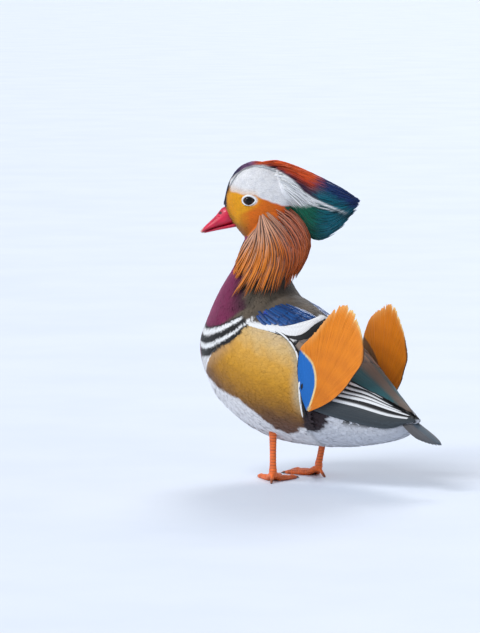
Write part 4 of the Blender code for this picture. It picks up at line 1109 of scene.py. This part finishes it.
def layPlume(gathered, form, stops, half, colourOf, rng, way, rows=16, columns=9, profile=None, thick=0.4,
             camber=0.18, rag=0.0):
    # a wide feather through (t, degrees, lift) stops; colourOf(across, along) paints it
    s = np.linspace(0, 1, rows)
    stops = np.asarray(stops, float)
    t, degrees, lift = curveThrough(stops, s * (len(stops) - 1)).T
    centres, normals = form.point(t, degrees * way, lift), form.normal(t, degrees * way)
    halves = half * (tipProfile(s) if profile is None else profile(s))
    top, low, c = plume(centres, normals, halves, thick, camber, columns, rng, rag, way)
    lengths = np.concatenate([[0], np.cumsum(np.linalg.norm(np.diff(centres, axis=0), axis=-1))])
    colours = colourOf(np.broadcast_to(c, top.shape[:2]), np.broadcast_to(s[:, None], top.shape[:2]))
    u, v = bodyUnwrap(t[0], degrees[0] * way)
    gathered.add(top, low, colours * rng.uniform(0.93, 1.07), c, lengths, rng.random(), (u, v))


def flat(name, sides):
    return np.broadcast_to(tones[name] if isinstance(name, str) else name, sides.shape + (3,))


def edged(inner, outer, place, soft=0.1, sides=1):
    # a vane of one colour with its lower edge in another
    def colourOf(c, s):
        return over(flat(inner, c), flat(outer, c), ease(place - soft, place + soft, c * sides))
    return colourOf


scapularLook = {"blueColumns": 22, "blueRows": 3, "blueHalf": 1.5, "bandHalf": 3.1}


def makeScapulars():
    for name, way in (("Left", 1), ("Right", -1)):
        rng = np.random.default_rng(53)
        gathered = Gathered()
        # black edged white band under blue feathers
        for colour, lift, half in (("black", 2.3, 1.2), ("white", 2.9, 1.0)):
            for i in range(5):
                share = i / 4
                extra = 0.22 if colour == "black" else 0.0
                start = (6.45 - share * 1.2, 53 - share * 9, lift - 0.6)
                middle = (5.35 - share * 0.55 - extra * 0.3, 44.5 - share * 3, lift)
                later = (4.35 - share * 0.1 - extra, 38 - share * 18, lift + 0.8)
                end = (4.15 + share * 0.05 - extra * 0.6, 22 - share * 20, lift + 1.6 + share)
                layPlume(gathered, body, (start, middle, later, end), half * scapularLook["bandHalf"],
                         lambda c, s: flat(colour, c), rng, way,
                         profile=lambda s: tipProfile(s, 0.4, 0.3))
        blueColumns = scapularLook["blueColumns"]
        for i in range(blueColumns * scapularLook["blueRows"]):
            share, tier = (i % blueColumns) / (blueColumns - 1), i // blueColumns
            t0 = 6.25 - tier * 0.5 - share * 0.1 + rng.normal(0, 0.1)
            d0 = between(42, 22, share) - tier * 5 + rng.normal(0, 1.0)
            stops = [(t0 - 0.9 * k, d0 + (2 - 4 * share) * k, 2.3 + 0.75 * k) for k in (0, 0.5, 1)]
            tone = (paint(4, 66, 128), paint(8, 80, 148), paint(4, 52, 106))[i * 7 % 3]
            layPlume(gathered, body, stops, scapularLook["blueHalf"],
                     edged(tone, tones["blueDark"], 0.8, 0.2), rng, way,
                     rows=10, columns=7)
        # the white line and black outline that close the flank
        rim = ((5.2, 44.6), (4.75, 44.6), (4.35, 47), (4.0, 52), (3.78, 59), (3.62, 69), (3.54, 82),
               (3.47, 96), (3.42, 108))
        for i in range(7):
            for colour, back, half, lift in (("black", 0.07, 1.25, 3.1), ("white", 0.0, 0.75, 3.5)):
                stops = [(t - back, degrees, lift + 0.5 * k) for k, (t, degrees) in enumerate(rim[i:i + 3])]
                layPlume(gathered, body, stops, half, lambda c, s: flat(colour, c), rng, way, rows=9,
                         columns=5,
                         profile=lambda s: tipProfile(s, 0.5, 0.35))
        made = gathered.build("scapulars" + name, silkPlumage, iridescence)
        settle(made, "scapular_plumage", "scapulars_" + name.lower())


makeScapulars()

wingLook = {"primaries": 5, "primaryHalf": 4.4, "stripeHalf": 3.6, "tertials": 7, "tertialHalf": 5.6,
            "coverHalf": 5.0}


def makeWings():
    teal, slate = paint(42, 92, 98), paint(52, 60, 66)
    brown = paint(126, 108, 96)
    for name, way in (("Left", 1), ("Right", -1)):
        rng = np.random.default_rng(67)
        gathered = Gathered()
        # primaries low on the wing, dark with paler lower edges
        for i in range(wingLook["primaries"]):
            share = i / (wingLook["primaries"] - 1)
            start = (3.5, between(94, 82, share), 0.9)
            end = (between(0.3, -0.75, share), between(96, 74, share), 1.4 + share * 0.4)
            middle = (1.9, between(95, 79, share), 1.3)
            layPlume(gathered, body, (start, middle, end), wingLook["primaryHalf"],
                     edged(slate, slate * 1.3, 0.45), rng, way,
                     profile=lambda s: tipProfile(s, 0.8, 0.3, 0.35), rows=20)
        # secondaries with white lower edges
        lines = (((2.55, 78), (-0.55, 50)), ((2.5, 70), (0.0, 30)), ((2.45, 64), (0.5, 33)),
                 ((2.4, 56), (0.95, 34)),
                 ((2.4, 48), (1.4, 34)), ((2.35, 38), (1.8, 33)))
        for i, ((t0, d0), (t1, d1)) in enumerate(lines):
            lift = 1.7 + i * 0.25
            start = (3.6, d0 + 6 - 4.5, lift - 0.4)
            middle = (t0, d0 - 3.6, lift)
            near = (between(t0, t1, 0.5), between(d0, d1, 0.5) - 4.0, lift + 0.25)
            end = (t1 - 0.1, d1 - 2.4, lift + 0.3)
            layPlume(gathered, body, (start, middle, near, end), wingLook["stripeHalf"],
                     lambda c, s: over(flat("black", c), flat("white", c),
                                       ease(0.18, 0.3, c) * ease(0.9, 0.7, c * 0 + (c > 0.97))),
                     rng, way, rows=20, columns=15, profile=lambda s: tipProfile(s, 0.9, 0.35, 0.4))
        # teal tertials over them, then brown-grey feathers on the back
        for i in range(wingLook["tertials"]):
            share = i / (wingLook["tertials"] - 1)
            start = (3.7, between(50, 8, share), 2.4)
            end = (between(1.5, 0.1, share), between(30, 5, share), 3.6)
            middle = (2.6, between(38, 7, share), 3.1)
            tone = over(teal[None], (brown * 0.8)[None], ease(0.45, 0.9, share))[0]
            layPlume(gathered, body, (start, middle, end), wingLook["tertialHalf"],
                     edged(tone, tones["black"], 0.8, 0.1), rng, way,
                     profile=lambda s: tipProfile(s, 0.8, 0.3, 0.2))
        for i in range(14):
            share = (i % 7) / 6
            tier = i // 7
            start = (4.1 - tier * 0.5, between(46, 4, share), 2.4)
            end = (3.0 - tier * 0.55, between(44, 4, share), 4.0)
            tone = (paint(134, 116, 102), paint(110, 98, 92), paint(84, 88, 90))[i % 3]
            layPlume(gathered, body, (start, [(a + b) / 2 for a, b in zip(start, end)], end),
                     wingLook["coverHalf"],
                     edged(tone, tone * 0.6, 0.7, 0.25), rng, way, rows=12)
        made = gathered.build("wing" + name, ironedPlumage, iridescence)
        settle(made, "wing_plumage", "wing_" + name.lower())


makeWings()

sailLook = {
    "foot": (60.0, 66.0), "plane": (75.1, -0.283, -0.132),
    "leftEdge": ((117, 14), (112, 29), (106.5, 45), (102, 55), (94.5, 62), (87.7, 70.6), (82, 84), (78, 92),
                 (74, 96),
                 (69, 94), (64, 88), (57, 80), (50.4, 73), (44, 64.5), (40, 52), (34, 39), (28, 26),
                 (24, 13)),
    "rightEdge": ((122, 14), (120, 30), (117, 46), (110.5, 58), (103, 66), (96, 74), (88, 81), (80.5, 87),
                  (74, 93),
                  (69, 92), (64, 86), (57, 78), (50.4, 70), (44, 62), (40, 50), (34, 39), (28, 26), (24, 13)),
}


def makeSails():
    columns, rows = 200, 26
    for name, way in (("Left", 1), ("Right", -1)):
        rng = np.random.default_rng(71 + way)
        edge = curveThrough(sailLook["leftEdge" if way > 0 else "rightEdge"], np.linspace(0, 17, columns + 1))
        degrees, reach = edge.T
        barb = rng.normal(0, 1, columns + 1)
        soft = ease(58, 66, degrees) * ease(96, 88, degrees)
        reach = reach + (barb * 0.45 + 0.5 * np.sin(degrees * 3.1)) * (0.06 + soft)
        for place, deep, wide in ((83.5, 5, 0.4), (78.2, 9, 0.4), (71.5, 10, 0.4), (66, 5, 0.4)):
            reach = reach - deep * 0.55 * np.exp(-((degrees - place) / wide) ** 2)
        share = np.linspace(0, 1, rows + 1) ** 0.85
        out = 1.5 + (reach[:, None] - 1.5) * share
        angle = np.radians(degrees)[:, None] + 0 * out
        y = sailLook["foot"][0] + out * np.cos(angle)
        z = sailLook["foot"][1] + out * np.sin(angle)
        a, b, c = sailLook["plane"]
        along = np.linspace(0, 1, columns + 1)[:, None]
        cup = -2.2 * np.sin(math.pi * share) * np.sin(math.pi * along)
        groove = 0.16 * np.sin(degrees * 9.0 + 2 * np.sin(degrees * 1.7))[:, None] * share + 0.1 * barb[:,
            None] * share
        x = a + b * y + c * z + cup + groove
        half = (0.28 - 0.14 * share) * np.ones_like(x)
        top = np.stack([(x + half) * way, y, z], -1)
        low = np.stack([(x - half) * way, y, z], -1)
        line = np.interp(out, (0, 10, 23, 40, 51.6, 60), (72, 75, 78.6, 89, 99.8, 107))
        d = degrees[:, None] + 0 * out
        streaks = ripple(d * 3.2, out * 0.15, 1.0)
        tone = over(np.broadcast_to(paint(232, 132, 4), x.shape + (3,)), paint(192, 98, 0),
                    ease(-0.3, 1.0, streaks + (0.5 - out / 95)) * 0.75)
        # a paler band inside the sail's edge, strongest along the top, is painted rim light
        tone = over(tone, paint(240, 168, 88), ease(-9, 0, out - reach[:, None])
                    * (0.2 + 0.8 * soft[:, None]) * 0.7)
        rearDegrees = ease(60, 52, d)
        fromEdge = (reach[:, None] - out)
        border = ease(2.6, 1.6, fromEdge) * rearDegrees
        cream = ease(1.6, 0.8, fromEdge) * ease(52, 60, d) * ease(76, 70, d)
        outerTone = tone
        blueWeb = ease(-0.6, 0.6, (d - line) * out * 0.0175)
        outerTone = over(outerTone, paint(0, 104, 190), blueWeb)
        outerTone = over(outerTone, tones["black"], ease(2.2, 1.2, fromEdge) * blueWeb)
        outerTone = over(outerTone, paint(240, 214, 150),
                         ease(1.0, 0.5, np.abs((d - line) * out * 0.0175)) * ease(54, 50, out))
        innerTone = over(tone, paint(120, 84, 52), blueWeb)
        outerTone, innerTone = (over(over(each, tones["black"], border), paint(250, 214, 140), cream)
                                for each in (outerTone, innerTone))
        gathered = Gathered()
        gathered.add(top, low, outerTone, np.zeros(rows + 1), np.linspace(0, 90, columns + 1), 0.5,
                     bodyUnwrap(3.0, 70 * way))
        gathered.colours[-1] = np.concatenate([outerTone.reshape(-1, 3), innerTone.reshape(-1, 3)])
        # barbs lie outward from the foot, so the pattern runs with the angle
        vane = np.stack([np.zeros_like(x), d * 1.15, np.full_like(x, 0.3)], -1).reshape(-1, 3)
        gathered.vane[-1] = np.concatenate([vane, vane])
        made = gathered.build("sail" + name, ironedPlumage)
        settle(made, "sail_plumage", "sail_" + name.lower())


makeSails()

tailLook = {"root": (0.0, 121.0, 68.0), "length": 54.0, "pitch": 29.0, "spread": 16.0, "feathers": 14,
            "half": 5.6}


def makeTail():
    rng = np.random.default_rng(83)
    gathered = Gathered()
    pitch, count = math.radians(tailLook["pitch"]), tailLook["feathers"]
    slate, pale = paint(66, 84, 98), paint(118, 108, 104)
    normal = np.array((0.0, math.sin(pitch), math.cos(pitch)))
    s = np.linspace(0.03, 1, 18)
    order = sorted(range(count), key=lambda i: -abs(i - (count - 1) / 2))
    for i in order:
        off = (i - (count - 1) / 2) / ((count - 1) / 2)
        turn = math.radians(off * tailLook["spread"])
        aheadWay = np.array((math.sin(turn), math.cos(turn) * math.cos(pitch),
                             -math.cos(turn) * math.sin(pitch)))
        length = tailLook["length"] * (1 - 0.3 * abs(off) ** 1.4) * 0.99
        centres = np.array(tailLook["root"]) + np.outer(s * length, aheadWay)
        centres = centres + np.outer(np.full(18, -4.2 * abs(off) + 0.4), upward) - np.outer(0.7 * s ** 2,
            upward)
        halves = tailLook["half"] * tipProfile(s, 0.6, 0.28, 0.35)
        top, low, c = plume(centres, np.broadcast_to(normal, centres.shape), halves, 0.45, 0.16, 9, rng, 0.05,
                            1 if off >= 0 else -1)
        colours = over(flat(slate, np.broadcast_to(c, top.shape[:2])),
                       flat(pale, np.broadcast_to(c, top.shape[:2])),
                       np.broadcast_to(ease(0.55, 0.95, np.abs(c)), top.shape[:2]) * 0.6)
        gathered.add(top, low, colours * rng.uniform(0.9, 1.1), c, s * length, rng.random(),
                     bodyUnwrap(0.2, off * 60))
    settle(gathered.build("tailFeathers", ironedPlumage), "tail_plumage", "tail")
    # coverts over and under the tail's root
    t, degrees = scatter(body, (0.0, 2.6), (-180, 180), 2.4, rng, lambda t, d,
                         p: (np.abs(d) > 92) | (t < 1.3))

    def covertColour(t, d, p):
        return over(flat("vent", t), flat("rump", t), ease(116, 102, np.abs(d)))

    made = coat("tailCoverts", body, t, degrees, covertColour, rng, 10.0, 4.4, (-0.6, 0.7), 0.25, rough=0.3,
                uneven=0.2)
    settle(made, "tail_plumage", "tail")


makeTail()


# bill

def hornMaterial(name, rough, coatWeight, bumpScale, bumpDistance):
    made, shader, start = newMaterial(name, Specular_IOR_Level=0.55, Coat_Roughness=0.18)
    shader.inputs["Coat Weight"].default_value = coatWeight
    tint = attribute(start, "tint", "Color")
    fine, broad = noise(start, bumpScale, 3.0), noise(start, 160.0, 2.0)
    feed(shader, broad.eased(0.3, 0.7).mixed(tint.scaled(0.82), tint.scaled(1.1)), "Base Color")
    feed(shader, rough + (fine - 0.5) * 0.25, "Roughness")
    bump = start.node("ShaderNodeBump", Strength=0.5, Distance=bumpDistance, Height=fine * 0.6 + broad * 0.8)
    feed(shader, start.out(bump), "Normal")
    return made


billHorn = hornMaterial("billHorn", 0.4, 0.15, 1500.0, 0.00012)
footSkin = hornMaterial("footSkin", 0.5, 0.12, 1300.0, 0.0002)
clawHorn = hornMaterial("clawHorn", 0.3, 0.3, 1800.0, 0.0001)


def smoothCopy(name, voxel, rounds, swell, *nodes):
    made = mergedCopy(name, *nodes)
    applied(made, "REMESH", mode="VOXEL", voxel_size=voxel * 0.001)
    applied(made, "SMOOTH", factor=0.5, iterations=rounds)
    if swell:
        applied(made, "DISPLACE", strength=swell * 0.001, mid_level=0.0)
    made.data.polygons.foreach_set("use_smooth", np.ones(len(made.data.polygons), bool))
    return made


# voxel and swell in mm; the lower half is raised to close the mouth, and both roots sink into the face
billLook = {"voxel": 0.32, "rounds": 10, "swell": 0.2, "raise": 0.3, "sink": 2.4}


def makeBill():
    pink, deep, red, nail = paint(200, 0, 58), paint(118, 6, 36), paint(172, 10, 36), paint(222, 176, 160)
    for name, node in (("billUpper", "bill_upper"), ("billLower", "bill_lower")):
        made = smoothCopy(name, billLook["voxel"], billLook["rounds"], billLook["swell"], node)
        points = pointsOf(made)
        u, side, z = onHead(points)
        colour = np.broadcast_to(pink, points.shape)
        if name == "billUpper":
            edge = np.interp(u, (10, 17, 25, 33, 41, 46), (224, 223, 220.9, 218.8, 216.3, 213.6))
            # the redder band along the lower edge and the darker line at the gape are painted shade
            colour = over(colour, red, ease(2.6, 0.8, z - edge))
            colour = over(colour, deep, ease(1.1, 0.2, z - edge) * 0.8)
            # a painted highlight along the middle of the ridge toward the tip
            colour = over(colour, paint(224, 60, 110), ease(0.55, 0.95, 1 - np.abs(side) / 6)
                          * ease(24, 30, u) * 0.4)
            colour = over(colour, nail, ease(44.2, 45.6, u) * ease(3.6, 2.8, np.abs(side)))
            # painted shade at the root, where the bill meets the face feathers
            colour = over(colour, deep, ease(4.5, 0.5, u - 15 - (z - 223) * 0.7) * 0.6)
            # a groove round the nail, and painted shade in the nostrils
            points = points - np.outer(0.16 * np.exp(-((u - 44.2) / 0.35) ** 2), upward)
            near = np.hypot(u - 30.6, (z - 231.5) * 1.3)
            colour = over(colour, deep * 0.4, ease(2.2, 1.2, near) * (np.abs(side) > 2.4))
        else:
            colour = over(colour, deep, ease(0.5, 1.0, ripple(u, z, 4.0)) * 0.3)
            colour = over(colour, nail, ease(43.4, 44.6, u))
            # painted shade toward the root of the lower half
            colour = over(colour, deep * 0.5, ease(20, 15, u))
            points = points + upward * billLook["raise"]
        points = points - np.outer(billLook["sink"] * ease(6, 1.5, u - 15 - (z - 223) * 0.7), ahead)
        setPoints(made, points)
        record(made, colour)
        wear(made, billHorn)
        settle(made, "bill_horn", node)


makeBill()


# eyes and lids

def makeEyes():
    iris, shader, start = newMaterial("eyeGloss", Roughness=0.06, Specular_IOR_Level=0.28)
    tint = attribute(start, "tint", "Color")
    feed(shader, noise(start, 900.0).eased(0.3, 0.7).mixed(tint.scaled(0.7), tint.scaled(1.25)), "Base Color")
    lidSkin = hornMaterial("lidSkin", 0.55, 0.1, 2200.0, 0.00008)
    for name, way in (("left", 1), ("right", -1)):
        centre = eyeCentres[name]
        bpy.ops.object.select_all(action="DESELECT")
        bpy.ops.mesh.primitive_uv_sphere_add(segments=64, ring_count=40, radius=eyePlace["radius"] * 0.001,
                                             location=tuple((centre + floorShift) * 0.001))
        eye = bpy.context.active_object
        bpy.ops.object.transform_apply(location=True, rotation=True, scale=True)
        eye.name = eye.data.name = "eyeBall" + name.capitalize()
        points = pointsOf(eye)
        u, side, z = onHead(points - centre + headPlace)
        # the clear front bulges a little
        away = np.hypot(u, z - 0.5)
        front = (side * way > 0) * ease(4.4, 2.0, away)
        points = points + np.outer(front * 0.35 * way, across)
        setPoints(eye, points)
        colour = over(np.broadcast_to(paint(58, 30, 16), points.shape), paint(4, 4, 6), ease(3.35, 2.9, away))
        colour = over(colour, paint(12, 8, 8), ease(4.0, 4.6, away))
        record(eye, colour)
        eye.data.polygons.foreach_set("use_smooth", np.ones(len(eye.data.polygons), bool))
        wear(eye, iris)
        settle(eye, "eye", "eye_" + name)
        # a dark inner rim and a pale lid round the opening
        turns, rings = 96, 14
        angle = np.linspace(0, 2 * math.pi, turns, endpoint=False)
        rear = 1 + 0.24 * np.maximum(0, -np.cos(angle)) ** 3
        wide, high = eyePlace["opening"][0] * rear * np.cos(angle), eyePlace["opening"][1] * np.sin(angle)
        outward = centre @ across - headPlace @ across
        rise = outward * way + eyePlace["proud"] + 0.1 + 0.7 * np.sin(angle) ** 2
        path = inHead(eyePlace["forward"] + wide, way * rise, eyePlace["height"] + high)
        middle = inHead(eyePlace["forward"], way * outward, eyePlace["height"])
        along = unit(np.roll(path, -1, 0) - np.roll(path, 1, 0))
        outOf = path - middle
        outOf = unit(outOf - along * np.sum(outOf * along, -1, keepdims=True))
        side2 = np.cross(along, outOf)
        size = (0.82 + 0.12 * np.sin(angle))[:, None, None]
        around = np.linspace(0, 2 * math.pi, rings, endpoint=False)
        cross = outOf[:, None] * np.cos(around)[None, :, None] + side2[:, None] * np.sin(around)[None, :,
            None]
        crease = 1 - 0.08 * np.sin(angle * 40)[:, None, None]
        points = (path[:, None] + cross * size * crease).reshape(-1, 3)
        i, j = np.meshgrid(np.arange(turns), np.arange(rings), indexing="ij")
        a, b = i * rings + j, (i + 1) % turns * rings + j
        a2, b2 = i * rings + (j + 1) % rings, (i + 1) % turns * rings + (j + 1) % rings
        faces = np.stack([a, b, b2, a2], -1).reshape(-1, 4)
        corners = points[faces[:, :3]] - points.mean(0)
        if np.linalg.det(corners).sum() < 0:
            faces = faces[:, ::-1]
        inner = np.broadcast_to(np.cos(around)[None], (turns, rings)).reshape(-1)
        colour = over(np.broadcast_to(tones["white"], points.shape), paint(30, 20, 18),
                      ease(-0.35, -0.75, inner))
        lid = makeMesh("lid" + name.capitalize(), points, faces, colour)
        wear(lid, lidSkin)
        settle(lid, "head_plumage")


makeEyes()


# legs and feet

footLook = {
    "ankles": {"left": (35.0, 8.0), "right": (-25.0, 8.5)}, "turns": {"left": 57.0, "right": -18.0},
    "toes": (34.0, 43.0, 38.0), "fan": 27.0, "claw": 5.5}


def toeWay(name, i):
    way = 1 if name == "left" else -1
    heading = math.radians(footLook["turns"][name] * way + (1 - i) * way * footLook["fan"])
    return np.array((-math.sin(heading), -math.cos(heading), 0.0))


def makeFeet():
    orange, deep, web = paint(230, 104, 22), paint(186, 66, 14), paint(150, 78, 40)
    for name in ("left", "right"):
        made = smoothCopy("legSkin" + name.capitalize(), 0.42, 8, 0.16, "leg_" + name, "foot_" + name)
        points = pointsOf(made)
        ankle = np.array((*footLook["ankles"][name], 0.0))
        flat2 = points - ankle
        reach = np.hypot(flat2[:, 0], flat2[:, 1])
        colour = over(np.broadcast_to(orange, points.shape), deep,
                      ease(0.1, 0.9, ripple(points[:, 2], reach, 2.4)) * 0.5)
        # plates down the front of the shank and along the toes
        onToe = np.full(len(points), 99.0)
        for i in range(3):
            aim = toeWay(name, i)
            distance = flat2 @ aim
            off = np.hypot(flat2[:, 0] - distance * aim[0], flat2[:, 1] - distance * aim[1])
            onToe = np.where((distance > 0), np.minimum(onToe, off), onToe)
        low = ease(9, 6, points[:, 2])
        # the webs between the toes are painted darker, as the shade that falls on them
        colour = over(colour, web, low * ease(2.2, 3.2, onToe) * ease(6, 9, reach))
        rings = np.sin(reach * 2.6) * low * ease(3.2, 2.0, onToe) + np.sin(points[:, 2] * 2.4) * (1 - low)
        made.data.update()
        normals = np.empty(len(points) * 3, np.float32)
        made.data.vertices.foreach_get("normal", normals)
        normals = normals.reshape(-1, 3)
        points = points + normals * (np.abs(rings) ** 0.5 * np.sign(rings) * 0.09)[:, None]
        points[:, 2] = np.maximum(points[:, 2], -floorShift[2] + 0.02)
        setPoints(made, points)
        # the grooves between the plates are painted darker, as painted shade
        colour = over(colour, deep * 0.5, ease(-0.55, -0.95, rings) * 0.6)
        record(made, colour)
        wear(made, footSkin)
        settle(made, "leg_skin", "leg_" + name, "foot_" + name)
        claws = Gathered()
        for i, length in enumerate(footLook["toes"]):
            aim = toeWay(name, i)
            s = np.linspace(0, 1, 9)
            tip = ankle + aim * length
            path = tip + np.outer(-1.4 + s * (footLook["claw"] + 1.4), aim) + np.outer(1.35 - 1.0 * s ** 2,
                upward)
            across2 = np.cross(aim, upward)
            turn = np.linspace(0, 2 * math.pi, 13)
            size = 1.35 * (1 - s ** 1.6 * 0.9)
            ring = path[:, None] + (across2 * np.cos(turn)[:, None] + upward
                                    * np.sin(turn)[:, None])[None] * size[:, None, None]
            ring[..., 2] = np.maximum(ring[..., 2], 0.03)
            points = np.concatenate([ring.reshape(-1, 3), path[-1:] + aim * 0.2, path[:1]])
            faces = []
            for row in range(8):
                for j in range(12):
                    a, b = row * 13 + j, row * 13 + 13 + j
                    faces.append((a, a + 1, b + 1, b))
            claws.points.append(points)
            claws.faces.append(np.array(faces) + claws.count)
            claws.count += len(points)
            claws.colours.append(np.broadcast_to(paint(48, 38, 34), points.shape))
        thing = makeMesh("claws" + name.capitalize(), np.concatenate(claws.points),
                         np.concatenate(claws.faces),
                         np.concatenate(claws.colours))
        wear(thing, clawHorn)
        settle(thing, "foot_skin")


makeFeet()


# floor, light and camera

stageLook = {"radius": 60.0, "floor": (0.64, 0.70, 0.80), "key": 1.7, "fill": 0.7, "rim": 0.8, "sky": 0.62}


def makeStage():
    bpy.ops.object.select_all(action="DESELECT")
    bpy.ops.mesh.primitive_circle_add(vertices=96, radius=stageLook["radius"], fill_type="NGON",
                                      location=(0, 0, 0))
    floor = bpy.context.active_object
    floor.name = floor.data.name = "floor"
    material, shader, start = newMaterial("paleFloor", Roughness=0.6, Specular_IOR_Level=0.3)
    patchy = noise(start, 6.0, 3.0)
    tone = patchy.eased(0.2, 0.8).mixed((*stageLook["floor"], 1), (0.68, 0.735, 0.825, 1))
    feed(shader, tone, "Base Color")
    wear(floor, material)
    world = bpy.data.worlds.new("studio")
    bpy.context.scene.world = world
    world.use_nodes = True
    world.node_tree.nodes["Background"].inputs["Color"].default_value = (0.86, 0.91, 1.0, 1)
    world.node_tree.nodes["Background"].inputs["Strength"].default_value = stageLook["sky"]
    # suns, so that the floor is evenly lit: from above on the camera's left, low on its left, and from behind
    for name, place, angle in (("key", (0.95, -0.15, 1.15), 28), ("fill", (0.9, -0.35, 0.25), 40),
                               ("rim", (-0.9, -0.6, 0.8), 20)):
        light = bpy.data.lights.new(name, "SUN")
        light.energy, light.angle = stageLook[name], math.radians(angle)
        thing = bpy.data.objects.new(name, light)
        bpy.context.scene.collection.objects.link(thing)
        thing.location = place
        thing.rotation_euler = (-Vector(place)).to_track_quat("-Z", "Y").to_euler()


def makeCamera():
    data = bpy.data.cameras.new("photoCamera")
    data.sensor_width = 36
    data.lens = 36 * 4000 / (633 * 0.87)
    data.clip_end = 500
    camera = bpy.data.objects.new("photoCamera", data)
    bpy.context.scene.collection.objects.link(camera)
    turn, rise = math.radians(132), math.radians(5)
    back = Vector((math.sin(turn) * math.cos(rise), -math.cos(turn) * math.cos(rise), math.sin(rise)))
    camera.location = Vector((0.0421, -0.0655, 0.1432)) + back * 4
    camera.rotation_euler = back.to_track_quat("Z", "Y").to_euler()
    bpy.context.scene.camera = camera
    bpy.context.scene.view_settings.view_transform = "Standard"


makeStage()
makeCamera()
